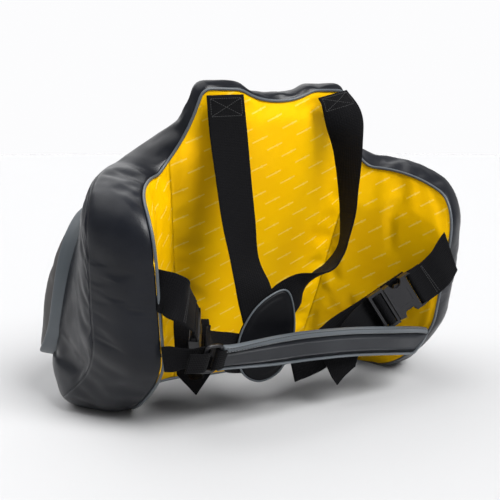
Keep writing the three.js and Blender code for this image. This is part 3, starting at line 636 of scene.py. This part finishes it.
def inflate(obj, pins, pressure, cap, frames=14, slack=0.015, stiffness=12.0):
    """Cloth simulation of a stuffed skin: seams stay pinned, the rest swells and creases."""
    rest = coordinates(obj)
    group = obj.vertex_groups.new(name="pins")
    group.add([int(p) for p in pins], 1.0, "REPLACE")
    cloth = modifier(obj, "CLOTH")
    settings = {"quality": 5, "mass": 0.25, "air_damping": 2.0, "tension_stiffness": stiffness,
                "compression_stiffness": stiffness, "shear_stiffness": stiffness / 2,
                "bending_stiffness": 0.6, "shrink_min": -slack, "vertex_group_mass": "pins",
                "use_pressure": True, "uniform_pressure_force": pressure}
    for key, value in settings.items():
        setattr(cloth.settings, key, value)
    cloth.settings.effector_weights.gravity = 0.0
    cloth.point_cache.frame_end = frames
    scene = bpy.context.scene
    for number in range(1, frames + 1):
        scene.frame_set(number)
    evaluated = obj.evaluated_get(bpy.context.evaluated_depsgraph_get())
    swollen = coordinates(evaluated)
    obj.modifiers.remove(cloth)
    scene.frame_set(1)
    shift = swollen - rest
    far = np.linalg.norm(shift, axis=1, keepdims=True)
    shift *= np.minimum(1.0, cap / np.maximum(far, 1e-9))
    result = rest + shift
    result[:, 2] = np.maximum(result[:, 2], np.minimum(rest[:, 2], 0.0))
    obj.data.vertices.foreach_set("co", result.ravel())
    obj.vertex_groups.clear()
    obj.data.update()
    return obj


def body_pins():
    size, height = (COLUMNS + 1) * (ROWS + 1), ROWS + 1
    edge = [i * height + j for i, j in BORDER]
    folds = [i * height + j for i in (LEFT_SEAM, RIGHT_SEAM) for j in range(height)]
    return edge + [size + p for p in edge] + folds + [size + p for p in folds]


def region_piece(body, region, name, material):
    """A copy of the body that keeps one region's faces, as sheet goods with a thickness."""
    mesh = body.data.copy()
    with edited(mesh) as cut:
        extra = [f for f in cut.faces if f.material_index != region]
        bmesh.ops.delete(cut, geom=extra, context="FACES")
        for face in cut.faces:
            face.material_index = 0
    mesh.materials.clear()
    mesh.materials.append(material)
    piece = linked(name, mesh)
    modifier(piece, "SOLIDIFY", thickness=SKIN_THICKNESS, offset=-1.0)
    bake_modifiers(piece).data.shade_smooth()
    return piece


body = subdivided(inflate(body_mesh(), body_pins(), pressure=3.0, cap=0.006))

for number, region in enumerate(REGIONS):
    is_lining = region.startswith("lining")
    cad_nodes = [region]
    if region == "gussets":
        cad_nodes = ["chest_gusset", "foot_gusset", "left_wing_gusset", "right_wing_gusset"]
    if region.startswith("front_cover"):
        cad_nodes.append(region.replace("front_cover", "foam_core"))
    piece = region_piece(body, number, f"{region}_cloth" if is_lining else f"{region}_leather",
                         YELLOW if is_lining else BLACK)
    stand_in(piece, "shield", "lining" if is_lining else "cover", *cad_nodes)
    piece.visible_diffuse = not is_lining       # the bright cloth doesn't colour the floor
bpy.data.objects.remove(body)

# ------------ piping round the lining

PIPING_RADIUS, CORD_SIDES = 0.0018, 12
CROSS_CORD_RADIUS, CROSS_CORD_OUT = 0.0012, 5.0     # the radius in metres, the other in millimetres


def border_line(out, offset=0.0):
    """A closed line near the lining's outline, with the direction towards the strike face."""
    pattern = BORDER_PATTERN + BORDER_NORMAL * offset
    line = shell(pattern, out, floor=1.0)
    return line, unit(shell(pattern, out + 2.0, floor=1.0) - line + 1e-9)


line, strikewards = border_line(-0.9, 0.3)
piping = subdivided(tube("lining_piping_cord", line, PIPING_RADIUS, CORD_SIDES, GREY, strikewards))
stand_in(piping, "shield", "trim", "lining_piping")

# ------------ raised strike pad

PAD_RISE, PAD_ROUNDNESS, PAD_CLEAR = 16, 0.6, 5.9
PAD_MIDDLE_UP, PAD_HALF_ACROSS, PAD_HALF_UP = 141, 206, 107
PAD_CORNER_CUT, PAD_CORNER_POWER = 0.10, 8      # the corners alone are pulled in by this share
PAD_CROWN = [(5.5, 12), (2.0, 45)]              # height and the distance from the edge over which it rises
PAD_FACE_UNDER, PAD_BASE_UNDER = 3.5, 7.0       # below the pad's rise, at its edge
PAD_TRIM = 2.5                                  # the face ends this far inside the pad's outline
PAD_COLUMNS, PAD_ROWS = 84, 36


def pad_pattern(u, v, trim=0.0):
    """The pad's own square (u, v in 0..1) mapped to its rounded outline in the pattern."""
    x = (2 * u - 1) * (1 - trim / PAD_HALF_ACROSS)
    y = (2 * v - 1) * (1 - trim / PAD_HALF_UP)
    x, y = (x * np.sqrt(1 - PAD_CORNER_CUT * y ** PAD_CORNER_POWER),
            y * np.sqrt(1 - PAD_CORNER_CUT * x ** PAD_CORNER_POWER))
    across = x * np.sqrt(1 - PAD_ROUNDNESS * y * y / 2) * PAD_HALF_ACROSS
    up = PAD_MIDDLE_UP + y * np.sqrt(1 - PAD_ROUNDNESS * x * x / 2) * PAD_HALF_UP
    return np.stack([across, up], -1)


def pad_point(u, v, rise, trim=0.0):
    pattern = pad_pattern(u, v, trim)
    return shell(pattern, padding_of(pattern) + PAD_CLEAR + rise)


def pad_border():
    across, up = np.arange(PAD_COLUMNS) / PAD_COLUMNS, np.arange(PAD_ROWS) / PAD_ROWS
    u = np.concatenate([across, np.ones(PAD_ROWS), 1 - across, np.zeros(PAD_ROWS)])
    v = np.concatenate([np.zeros(PAD_COLUMNS), up, np.ones(PAD_COLUMNS), 1 - up])
    return u, v


def strike_pad_face():
    u, v = np.meshgrid(np.linspace(0, 1, PAD_COLUMNS + 1), np.linspace(0, 1, PAD_ROWS + 1), indexing="ij")
    edge = np.minimum(np.minimum(u, 1 - u) * 2 * PAD_HALF_ACROSS, np.minimum(v, 1 - v) * 2 * PAD_HALF_UP)
    crown = sum(height * (1 - np.exp(-edge / reach)) for height, reach in PAD_CROWN)
    top = pad_point(u, v, PAD_RISE - PAD_FACE_UNDER + crown, PAD_TRIM)
    base = pad_point(u, v, PAD_RISE - PAD_BASE_UNDER + 0 * u, PAD_TRIM)
    points = np.concatenate([top.reshape(-1, 3), base.reshape(-1, 3)])
    size, height = top.shape[0] * top.shape[1], PAD_ROWS + 1
    faces = []
    for _, a, b, c, d in grid_cells(PAD_COLUMNS, PAD_ROWS):
        faces += [(a, d, c, b), (size + a, size + b, size + c, size + d)]
    for i in range(PAD_COLUMNS):
        for j in (0, PAD_ROWS):
            a, b = i * height + j, (i + 1) * height + j
            faces.append((a, b, size + b, size + a) if j == 0 else (b, a, size + a, size + b))
    for j in range(PAD_ROWS):
        for i in (0, PAD_COLUMNS):
            a, b = i * height + j, i * height + j + 1
            faces.append((b, a, size + a, size + b) if i == 0 else (a, b, size + b, size + a))
    face = mesh_object("strike_pad_leather", points, faces, PAD_FACE)
    rim = [i * height + j for i in range(PAD_COLUMNS + 1) for j in range(height)
           if i in (0, PAD_COLUMNS) or j in (0, PAD_ROWS)]
    inflate(face, rim + list(range(size, 2 * size)), pressure=2.0, cap=0.004)
    return subdivided(face)


face = stand_in(strike_pad_face(), "shield", "pad_face", "strike_pad_face", "strike_pad_foam")


def strike_pad_band():
    """Grey strip round the pad: turned under at both edges, slightly hollow between its seams."""
    u, v = pad_border()
    profile = [(-3.0, 2.2), (-4.0, 0.9), (-3.6, -0.5), (-2.2, -0.9), (0.5, -0.3), (6.0, -0.7), (12.0, -0.4),
               (14.6, -0.9), (16.0, -0.5), (16.4, 0.8), (15.4, 2.2), (6.0, 1.6)]
    sections = np.stack([pad_point(u, v, rise + 0 * u, trim) for rise, trim in profile], 1)
    faces = loft_faces(*sections.shape[:2], closed=True)
    return subdivided(mesh_object("strike_pad_grey_band", sections.reshape(-1, 3), faces, GREY))


stand_in(strike_pad_band(), "shield", "trim", "strike_pad_band")

# ------------ straps


def to_frame(points):
    """From the pattern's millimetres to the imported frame's metres."""
    return (np.asarray(points, float) - PATTERN_ORIGIN) * MM


def curve_through(points, spots):
    """Uniform Catmull-Rom curve through the points, evaluated at spots from 0 to 1."""
    p = np.asarray(points, float)
    p = np.concatenate([[2 * p[0] - p[1]], p, [2 * p[-1] - p[-2]]])
    place = np.asarray(spots) * (len(points) - 1)
    i = np.minimum(place.astype(int), len(points) - 2)
    t = (place - i)[:, None]
    a, b, c, d = p[i], p[i + 1], p[i + 2], p[i + 3]
    return b + 0.5 * t * (c - a + t * (2 * a - 5 * b + 4 * c - d + t * (3 * (b - c) + d - a)))


class StrapLine:
    """Evenly spaced stations along a route, with width and thickness directions, in millimetres."""

    def __init__(self, route, spacing=3.0):
        middles, hints = [r[0] for r in route], [r[1] for r in route]
        fine = np.linspace(0, 1, 60 * len(route))
        line = curve_through(middles, fine)
        run = run_along(line)
        self.run = np.linspace(0, run[-1], int(run[-1] / spacing) + 2)
        spots = np.interp(self.run, run, fine)
        self.middle = curve_through(middles, spots)
        self.along = unit(np.gradient(self.middle, axis=0))
        wide = curve_through(hints, spots)
        self.wide = unit(wide - self.along * np.sum(wide * self.along, -1, keepdims=True))
        self.thick = np.cross(self.along, self.wide)

    def at(self, across, height, step=slice(None)):
        return self.middle[step] + self.wide[step] * across + self.thick[step] * height

    def between(self, run, across, height):
        """A point at that run along the strap."""
        return at_run(run, self.run, self.at(across, height))


def strap_section(width, thickness, crown=0.0, selvedge=0.12):
    """Points round a strap's section, (across, height), with rounded and slightly thicker edges."""
    half, thin = width / 2, thickness / 2
    across = np.array([-0.97, -0.90, -0.75, -0.4, 0, 0.4, 0.75, 0.90, 0.97]) * half
    across = np.clip(across, -half + thin * 0.7, half - thin * 0.7)
    height = thin * (1 - crown * (across / half) ** 2 * 0.8)
    height[[1, -2]] += selvedge * thin
    height[[0, -1]] *= 0.86
    top = np.stack([across, height], -1)
    bottom = np.stack([across[::-1], -height[::-1]], -1)
    return np.concatenate([top, [(half, 0.0)], bottom, [(-half, 0.0)]])


SLANT_RUN = 26              # a slanted start is back to square this far along the strap


def strap(name, route, width, thickness, material=WEBBING, point=0.0, edges=None, crown=0.0, selvedge=0.12,
          spacing=3.0, slant=0.0):
    """A flat strap along a route, its UV in metres across and along.

    edges, where it is given, turns the millimetres left to the strap's end into its two edges, across.
    slant is how much further its start reaches at the one edge than at the other.
    """
    line = StrapLine(route, spacing)
    section = strap_section(width, thickness, crown, selvedge)
    points, uv = [], []
    for i, run in enumerate(line.run):
        left = line.run[-1] - run
        share = min(1.0, (left + 0.8) / point) if point else 1.0
        low, high = edges(left) if edges else (-share * width / 2, share * width / 2)
        for across, height in section:
            place = (low + high) / 2 + across * (high - low) / width
            reach = slant * (0.5 + place / width) * max(0.0, 1 - run / SLANT_RUN)
            points.append(line.at(place, height, i) - line.along[i] * reach)
            uv.append((place * MM, (run - reach) * MM))
    made = mesh_object(name, to_frame(points), loft_faces(len(line.run), len(section)), material, uv)
    face_outwards(made.data)
    return made, line


def sewn_rows(name, line, rows, material, height, **sizes):
    """Stitches along a strap: each row is (start run, end run, start across, end across) in millimetres."""
    for number, (start, end, first, last) in enumerate(rows):
        count = max(3, int(abs(end - start) / 3) + int(abs(last - first) / 3) + 2)
        row, above = [
            to_frame([line.between(start + (end - start) * s, first + (last - first) * s, level)
                      for s in np.linspace(0, 1, count)]) for level in (height, height + 1)]
        stitches(f"{name}_{number + 1}", row, unit(above - row), material, **sizes)


class Place:
    """A local frame: x along, y across, z out, in the pattern's millimetres."""

    def __init__(self, at, along, across):
        self.origin = np.array(at, float)
        self.x = unit(np.array(along, float))
        across = np.array(across, float)
        self.y = unit(across - self.x * (across @ self.x))
        self.z = np.cross(self.x, self.y)

    def point(self, x, y, z):
        return self.origin + self.x * x + self.y * y + self.z * z

    def route(self, points):
        return [(self.point(x, 0, z), self.y) for x, z in points]

    def matrix(self):
        """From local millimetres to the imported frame's metres."""
        turn = Matrix(np.stack([self.x, self.y, self.z], 1).tolist()).to_4x4()
        return Matrix.Translation(to_frame(self.origin)) @ turn @ Matrix.Scale(MM, 4)


WEBBING_WIDTH, WEBBING_THICKNESS = 45, 1.8
UPWARDS = (0, 0, 1)
RIGHT_BUCKLE = Place((144.5, -92, 141), (-0.80, 0.22, -0.51), (-0.52, 0.25, 0.815))
LEFT_BUCKLE = Place((-147, -84, 130), (0.287, 0.535, -0.791), (0.374, 0.698, 0.607))
BEHIND = 13                 # the load strap runs this far behind each buckle


def harness_strap(name, cad_node, route, body="shield", width=WEBBING_WIDTH, thickness=WEBBING_THICKNESS,
                  **form):
    made, line = strap(name, route, width, thickness, **form)
    stand_in(made, body, "webbing", cad_node)
    return line


left_shoulder = harness_strap("shoulder_webbing_left", "shoulder_strap_left", [
    ((-73, -11, 368), (1, -0.1, 0)),
    ((-72, -17, 326), (1, -0.15, 0)),
    ((-71, -28, 273), (1, 0, 0)),
    ((-70, -38, 228), (1, 0.1, 0)),
    ((-68, -48, 186), (0.95, 0.3, 0)),
    ((-65, -60.5, 158), (1, 0.05, -0.1)),
    ((-58, -62, 130), (1, 0, -0.2)),
    ((-53, -62, 108), (1, 0, -0.2)),
])
right_shoulder = harness_strap("shoulder_webbing_right", "shoulder_strap_right", [
    ((71, -12, 370), (1, -0.1, 0)),
    ((74, -20, 359), (1, -0.2, 0)),
    ((77, -28, 340), (0.8, -0.6, 0)),
    ((78, -34, 316), (0.4, -0.92, 0)),
    ((77, -39, 290), (0.17, -1, 0)),
    ((75, -43, 258), (-0.05, -1, 0)),
    ((72, -47, 228), (-0.2, -1, 0)),
    ((64, -50, 194), (-0.4, -0.9, 0)),
    ((48, -53, 174), (-0.3, -0.9, 0.1)),
    ((30, -56, 163), (-0.1, -0.95, 0.2)),
    ((12, -59, 155), (-0.2, -0.75, 0.45)),
    ((-6, -61, 147), (-0.45, -0.3, 0.75)),
    ((-24, -62, 136), (-0.5, 0, 0.8)),
    ((-38, -62, 124), (-0.55, 0, 0.78)),
])
ROUND_THE_BAR = [(-8, -0.9), (0.2, -2.9), (3.2, -2.8), (5.0, 0), (3.2, 2.8), (0.2, 2.9), (-7, 1.0)]
right_stub = harness_strap("stub_webbing_right", "stub_strap_right", [
    ((181, -99, 172), (-0.52, 0.15, 0.82)),
    ((171, -99.5, 161), (-0.52, 0.22, 0.82)),
    *RIGHT_BUCKLE.route([(-19, 0), *ROUND_THE_BAR, (-15, 1.6)]),
], spacing=1.6, slant=25)
left_stub = harness_strap("stub_webbing_left", "stub_strap_left", [
    ((-187, -92, 169), (0, 0, 1)),
    ((-179, -100, 166), (0, 0.05, 1)),
    ((-168, -103, 158), (0.15, 0.25, 0.9)),
    *LEFT_BUCKLE.route([(-15, 0), *ROUND_THE_BAR, (-11, 1.4)]),
], spacing=1.6, slant=10)
harness_strap("lower_webbing_right", "lower_strap_right", [
    *RIGHT_BUCKLE.route([(3, BEHIND), (30, BEHIND), (72, BEHIND)]),
    ((58, -58, 85), (-0.45, 0.28, 0.85)),
    ((22, -61, 67), (-0.4, 0.1, 0.9)),
    ((-14, -62, 58), (-0.35, 0, 0.93)),
])
harness_strap("lower_webbing_left", "lower_strap_left", [
    *LEFT_BUCKLE.route([(10, BEHIND), (20, BEHIND)]),
    ((-119, -69, 98), (0.156, 0.79, 0.59)),
    ((-105, -64, 89), (0.15, 0.55, 0.78)),
    ((-90, -62, 83), (0.1, 0.15, 0.97)),
    ((-74, -62, 80), (0.1, 0, 1)),
], slant=-24)

THREADED = [(51, 6.2), (47.2, 5.8), (45.1, 3), (45.1, -3), (46.8, -5.8), (49.6, -6.6), (52.4, -5.8),
            (54.1, -3), (54.1, 3), (56.6, 6.2), (61, 7)]
TAIL_FORM = {"width": 40, "thickness": 1.6, "point": 26.0, "spacing": 1.8}
harness_strap("tail_webbing_right", "strap_tail_right", [
    *RIGHT_BUCKLE.route(THREADED + [(70, 5)]),
    ((66, -82, 96), (-0.7, 0.2, 0.7)),
    ((48, -85, 80), (-0.9, 0.2, 0.4)),
    ((40, -86, 64), (-0.95, 0.2, 0.1)),
    ((36, -86, 48), (-0.97, 0.2, 0)),
    ((35, -85, 33), (-0.97, 0.2, 0)),
], body="right_buckle_plug", **TAIL_FORM)
harness_strap("tail_webbing_left", "strap_tail_left", [
    *LEFT_BUCKLE.route(THREADED + [(72, 6.5)]),
    ((-115, -36, 62), (0.9, 0.1, 0.1)),
    ((-115, -24, 74), (0.95, -0.2, 0.1)),
    ((-120, -20, 98), (0.88, -0.47, 0)),
    ((-122, -21, 113), (0.88, -0.47, 0)),
    ((-125, -26.5, 117), (0.88, -0.47, 0)),
    ((-127, -31, 106), (0.88, -0.47, 0)),
    ((-125, -31, 68), (0.88, -0.47, 0)),
    ((-122, -31, 30), (0.88, -0.47, 0)),
], body="left_buckle_plug", **TAIL_FORM)


TACK_SPACING = 2.4
SEAM_STITCH = {"pitch": 0.0026, "length": 0.0021, "radius": 0.0004}


def strap_seam(name, line, rows, side):
    """Dark stitches on one of a strap's faces."""
    sewn_rows(name, line, rows, DARK_THREAD, side * (WEBBING_THICKNESS / 2 + 0.05), **SEAM_STITCH)


def bar_tack(name, line, run, side):
    """Two close rows straight across a strap."""
    half, second = WEBBING_WIDTH / 2 - 3, run + TACK_SPACING
    strap_seam(name, line, [(run, run, -half, half), (second, second, half, -half)], side)


def boxed_cross(name, line, start, end, side):
    """A sewn rectangle with a cross in it."""
    half = WEBBING_WIDTH / 2 - 4
    rows = [(start, end, -half, -half), (start, end, half, half), (start, start, -half, half),
            (end, end, -half, half), (start, end, -half, half), (start, end, half, -half)]
    strap_seam(name, line, rows, side)


for side, face in ((1, "front"), (-1, "back")):
    boxed_cross(f"shoulder_seam_left_{face}", left_shoulder, 4, 24, side)
    boxed_cross(f"shoulder_seam_right_{face}", right_shoulder, 3, 20, side)
    bar_tack(f"stub_seam_right_{face}", right_stub, 30, side)
    bar_tack(f"stub_seam_left_{face}", left_stub, 32, side)

# ------------ cross pad where the straps meet

CROSS_PAD = Place((-46, -61, 97), (0.95, -0.02, -0.32), (0.32, 0, 0.95))
CROSS_PAD_OUTLINE = [(5, 56), (22, 36), (32, 2), (27, -34), (4, -52), (-22, -45), (-36, -14), (-31, 19),
                     (-16, 43)]
LEAF_STATIONS, LEAF_RINGS = 108, 16
LEAF_SEAM_DIP, LEAF_SEAM_AT, LEAF_SEAM_WIDTH = 0.35, 0.84, 0.05


def leaf_outline(inset=0.0):
    """The pad's rounded outline, pulled in towards its middle by inset millimetres."""
    corners = np.array(CROSS_PAD_OUTLINE, float)
    corners *= 1 - inset / np.linalg.norm(corners, axis=1, keepdims=True)
    looped = np.concatenate([corners[-2:], corners, corners[:3]])
    spots = (np.arange(LEAF_STATIONS) / LEAF_STATIONS * len(corners) + 2) / (len(looped) - 1)
    return curve_through(looped, spots)


def padded_leaf(name, inset, base, height, seed):
    """A stuffed leaf: flat on its base side, crowned and slightly creased on the other."""
    edge = leaf_outline(inset)
    points = []
    rings = range(LEAF_RINGS + 1)
    for surface, order in ((0, rings), (1, reversed(rings))):
        for ring in order:
            r = ring / LEAF_RINGS
            flat = edge * (1 - (1 - r) ** 1.25)
            dome = (1 - r ** 4) ** 0.5 if surface else 0.0
            seam_dip = 1 - LEAF_SEAM_DIP * math.exp(-((r - LEAF_SEAM_AT) / LEAF_SEAM_WIDTH) ** 2)
            for x, y in flat:
                dimple = 0.5 * noise.noise(Vector((x / 9, y / 9, seed))) * (1 - r)
                z = base + height * (0.25 + (0.75 * dome * seam_dip + dimple * 0.2 if surface else -0.25))
                points.append(CROSS_PAD.point(x, y, z))
    faces = loft_faces(2 * len(rings), LEAF_STATIONS)
    leaf = mesh_object(name, to_frame(points), faces, CROSS_BLACK)
    with edited(leaf.data) as weld:
        bmesh.ops.remove_doubles(weld, verts=weld.verts, dist=1e-7)
        bmesh.ops.dissolve_degenerate(weld, edges=weld.edges, dist=1e-7)
        bmesh.ops.recalc_face_normals(weld, faces=weld.faces)
    return subdivided(leaf)


for side, inset, base, height, seed in (("back", 1.2, -1.4, -3.2, 2.0), ("front", 0.7, 3.2, 5.2, 7.0)):
    leaf = padded_leaf(f"cross_pad_{side}_leather", inset, base, height, seed)
    stand_in(leaf, "shield", "cover", f"cross_pad_{side}")

rim_line = to_frame([CROSS_PAD.point(x, y, CROSS_CORD_OUT) for x, y in leaf_outline()])
rim = subdivided(tube("cross_pad_cord", rim_line, CROSS_CORD_RADIUS, CORD_SIDES, GREY, CROSS_PAD.z))
stand_in(rim, "shield", "trim", "cross_pad_piping")

# ------------ buckles

HOUSING_LENGTH, HOUSING_WIDTH, HOUSING_THICKNESS = 39, 45, 11
NOTCH_AT, NOTCH_RADIUS, WALL, BAR, SLOT = 23, 8, 2, 3.2, 4.6
SHOULDER, MOUTH_STEP, BAR_HALF = 4, 0.8, 1.7
RECESS_FROM, RECESS_TO, RECESS_HALF, RECESS_DEEP = 13, 34, 9, 0.45
PLUG_BEVEL, PRONG_BEVEL = 0.0008, 0.0010     # metres
THROUGH = 20                # cutters reach this far from the middle, past both faces


def extruded(name, outline, low, high):
    """A block with that plan outline, from z = low to high, in local millimetres."""
    count = len(outline)
    points = [(x, y, low) for x, y in outline] + [(x, y, high) for x, y in outline]
    faces = [tuple(range(count))[::-1], tuple(range(count, 2 * count))]
    faces += [(k, (k + 1) % count, count + (k + 1) % count, count + k) for k in range(count)]
    return mesh_object(name, points, faces, PLASTIC, smooth=False)


def block(low, high):
    (x0, y0, z0), (x1, y1, z1) = low, high
    return extruded("cutter", [(x0, y0), (x1, y0), (x1, y1), (x0, y1)], z0, z1)


def carve(obj, cutters):
    for cutter in cutters:
        modifier(obj, "BOOLEAN", operation="DIFFERENCE", solver="EXACT", object=cutter)
        bake_modifiers(obj)
        bpy.data.objects.remove(cutter)
    return obj


def arc(centre, radius, start, end, count=14):
    angles = [math.radians(start + (end - start) * k / count) for k in range(count + 1)]
    return [(centre[0] + radius * math.cos(a), centre[1] + radius * math.sin(a)) for a in angles]


def housing(name, place):
    """Flat box with round shoulders, thumb notches, an open strap slot and a thin round-edged bar."""
    half, height = HOUSING_WIDTH / 2, HOUSING_THICKNESS / 2
    edge = half - SHOULDER
    outline = (arc((SHOULDER, -edge), SHOULDER, 180, 270) + arc((NOTCH_AT, -half), NOTCH_RADIUS, 180, 0)
               + [(HOUSING_LENGTH, -half + MOUTH_STEP), (HOUSING_LENGTH, half - MOUTH_STEP)]
               + arc((NOTCH_AT, half), NOTCH_RADIUS, 0, -180) + arc((SHOULDER, edge), SHOULDER, 90, 180))
    body = extruded(name, outline, -height, height)
    cavity, slot_end = half - WALL, BAR + SLOT
    inner = height - WALL
    carve(body, [
        block((BAR, -cavity, -THROUGH), (slot_end, cavity, THROUGH)),
        block((slot_end + WALL, -cavity, -inner), (HOUSING_LENGTH + 1, cavity, inner)),
        block((-1, -cavity, BAR_HALF), (BAR + 0.5, cavity, THROUGH)),
        block((-1, -cavity, -THROUGH), (BAR + 0.5, cavity, -BAR_HALF)),
        block((RECESS_FROM, -RECESS_HALF, height - RECESS_DEEP), (RECESS_TO, RECESS_HALF, THROUGH)),
        block((RECESS_FROM, -RECESS_HALF, -THROUGH), (RECESS_TO, RECESS_HALF, -height + RECESS_DEEP)),
    ])
    modifier(body, "BEVEL", width=0.7, segments=3, limit_method="ANGLE", angle_limit=math.radians(35))
    bake_modifiers(body)
    body.data.transform(place.matrix())
    return body


def dress_node(name, bevel_width):
    """Rounds a CAD piece's edges and gives it the moulded finish; its mesh stays as packed."""
    node = bpy.data.objects[name]
    node.data.materials.clear()
    node.data.materials.append(PLASTIC)
    modifier(node, "BEVEL", width=bevel_width, segments=3, limit_method="ANGLE", angle_limit=math.radians(30),
             harden_normals=False)
    return node


for side, place in (("right", RIGHT_BUCKLE), ("left", LEFT_BUCKLE)):
    shell_piece = housing(f"buckle_housing_shell_{side}", place)
    stand_in(shell_piece, "shield", "buckle_plastic", f"buckle_housing_{side}")
    dress_node(f"buckle_plug_{side}", PLUG_BEVEL)
    for prong in ("upper", "lower"):
        dress_node(f"buckle_prong_{prong}_{side}", PRONG_BEVEL)

# ------------ waist belt

BELT_THICKNESS, BELT_WEBBING_WIDTH = 5, 27
BELT_HALF, UPPER_TAPE, LOWER_TAPE, BELT_POINT = 17.5, 8.5, 3.2, 26
RING_BAR, RING_REACH, RING_TALL = 2, 16, 36
RING = Place((-134, -113, 97), (1, 0.02, -0.04), (0.42, -0.42, 0.8))

BELT_CLOTH = leather("belt_leather", (0.011, 0.012, 0.015), (0.022, 0.024, 0.028), 0.40, grain=1300.0,
                     specular=0.35)
BELT_ROUTE = [
    *RING.route([(3.2, 0), (20, 0)]),
    ((-60, -111, 95), (0.1, -0.1, 0.95)),
    ((-16, -107, 93), UPWARDS),
    ((44, -102, 88), UPWARDS),
    ((104, -97, 80), UPWARDS),
    ((150, -84, 71), (0, 0.1, 0.95)),
    ((171, -80, 66), (0, 0.2, 0.9)),
]


def belt_foot(left):
    """The belt's lower edge: it slants up to the top corner where the belt is sewn in."""
    return -BELT_HALF + 1.35 * BELT_HALF * max(0.0, 1 - left / BELT_POINT) ** 1.4


def belt_part(name, cad_node, material, slot_name, edges, thickness, crown):
    made, line = strap(name, BELT_ROUTE, 10, thickness, material, edges=edges, crown=crown, selvedge=0.0)
    return stand_in(made, "shield", slot_name, cad_node), line


belt, belt_line = belt_part(
    "belt_panel_leather", "belt_panel", BELT_CLOTH, "cover",
    lambda left: (belt_foot(left) + LOWER_TAPE - 0.2, BELT_HALF - UPPER_TAPE + 0.2), BELT_THICKNESS, 0.45)
belt_part("belt_binding_tape_upper", "belt_binding_upper", GREY, "trim",
          lambda left: (BELT_HALF - UPPER_TAPE, BELT_HALF), BELT_THICKNESS + 0.6, 0.5)
belt_part("belt_binding_tape_lower", "belt_binding_lower", GREY, "trim",
          lambda left: (belt_foot(left), belt_foot(left) + LOWER_TAPE), BELT_THICKNESS + 0.4, 0.6)
for surface in (1, -1):
    face = "out" if surface > 0 else "in"
    height, run = surface * (BELT_THICKNESS / 2 + 0.15), belt_line.run[-1]
    for seam, across, thread in (("tape_edge", BELT_HALF - UPPER_TAPE + 1.0, GREY_THREAD),
                                 ("tape_fold", BELT_HALF - 2.6, DARK_THREAD)):
        sewn_rows(f"belt_{seam}_{face}", belt_line, [(2, run - 2, across, across)], thread, height,
                  pitch=0.0034, length=0.0027, radius=0.0003)

harness_strap("ring_loop_webbing", "belt_ring_loop",
              RING.route([(9, 1.6), (3, 3.4), (-2.6, 3.2), (-4.0, 0), (-2.6, -3.2), (3, -3.4), (9, -1.6)]),
              width=BELT_WEBBING_WIDTH, thickness=1.2, spacing=1.0)
harness_strap("belt_webbing_sewn_left", "belt_webbing_left", [
    ((-187, -93, 98), (0.1, -0.1, 1)),
    ((-178, -104, 100), (0.4, -0.4, 0.82)),
    *RING.route([(-31, -4.4), (-22, -5.2), (-14, -4.6), (-11.6, 0), (-14, 4.6), (-22, 5.2), (-36, 3.4)]),
], width=BELT_WEBBING_WIDTH, thickness=1.4, spacing=1.4)


def ring_line():
    """The ring's centreline: a rectangle of bar with round corners; its belt side is at x = 0."""
    corner, reach, tall = 4, RING_REACH, RING_TALL / 2
    corners = [(-corner, -tall + corner, -90), (-corner, tall - corner, 0),
               (-reach + corner, tall - corner, 90), (-reach + corner, -tall + corner, 180)]
    path = [p for x, y, start in corners for p in arc((x, y), corner, start, start + 90, 8)]
    return to_frame([RING.point(x, y, 0) for x, y in path])


ring = tube("belt_ring_bar", ring_line(), RING_BAR * MM, 20, PLASTIC, RING.z)
stand_in(ring, "belt_slot_ring", "buckle_plastic", "belt_ring")

# ------------ floor, light and camera


def floor_sheet():
    material, _, _ = node_material("pale_floor", (0.53, 0.53, 0.535), 1.0, specular=0.0)
    size = 6.0
    floor = mesh_object("floor", [(-size, -size, 0), (size, -size, 0), (size, size, 0), (-size, size, 0)],
                        [(0, 1, 2, 3)], material, smooth=False)


def backdrop():
    """A plain white wall and ceiling all round the floor; it is only seen, and lights nothing."""
    material, _, shader = node_material("white_backdrop", (0.0, 0.0, 0.0), 1.0, specular=0.0)
    shader.inputs["Emission Color"].default_value = (0.975, 0.975, 0.985, 1.0)
    shader.inputs["Emission Strength"].default_value = 1.0
    sides, reach, height = 48, 5.9, 6.0
    turns = [2 * math.pi * k / sides for k in range(sides)]
    foot = [(reach * math.cos(t), reach * math.sin(t), -0.1) for t in turns]
    head = [(x, y, height) for x, y, _ in foot]
    walls = [(k, (k + 1) % sides, sides + (k + 1) % sides, sides + k) for k in range(sides)]
    ceiling = tuple(range(sides, 2 * sides))
    screen = mesh_object("backdrop", foot + head, walls + [ceiling], material, smooth=False)
    screen.visible_diffuse = screen.visible_glossy = screen.visible_shadow = False


floor_sheet()
backdrop()
world = bpy.data.worlds.new("studio")
world.use_nodes = True
world.node_tree.nodes["Background"].inputs["Color"].default_value = (0.97, 0.98, 1.0, 1.0)
world.node_tree.nodes["Background"].inputs["Strength"].default_value = 0.36
bpy.context.scene.world = world


def soft_sun(name, place, strength, width):
    """A distant lamp that shines from that direction; width is its angular size in degrees."""
    data = bpy.data.lights.new(name, "SUN")
    data.energy = strength
    data.angle = math.radians(width)
    lamp = linked(name, data)
    lamp.rotation_euler = Vector(place).to_track_quat("Z", "Y").to_euler()


soft_sun("key_light", (0.3, -1.0, 1.15), 3.8, 30)
soft_sun("top_light", (-0.6, 0.35, 1.4), 1.6, 60)
soft_sun("back_light", (0.2, 1.0, 0.75), 0.8, 50)

CAMERA_AT, CAMERA_LOOKS = (-0.49790, -0.88737, 0.34676), (0.46617, 0.86904, -0.16568)
camera_data = bpy.data.cameras.new("camera")
camera_data.lens = 59.83
camera_data.sensor_width = 36.0
camera = linked("camera", camera_data)
camera.location = CAMERA_AT
camera.rotation_euler = Vector(CAMERA_LOOKS).to_track_quat("-Z", "Y").to_euler()
bpy.context.scene.camera = camera
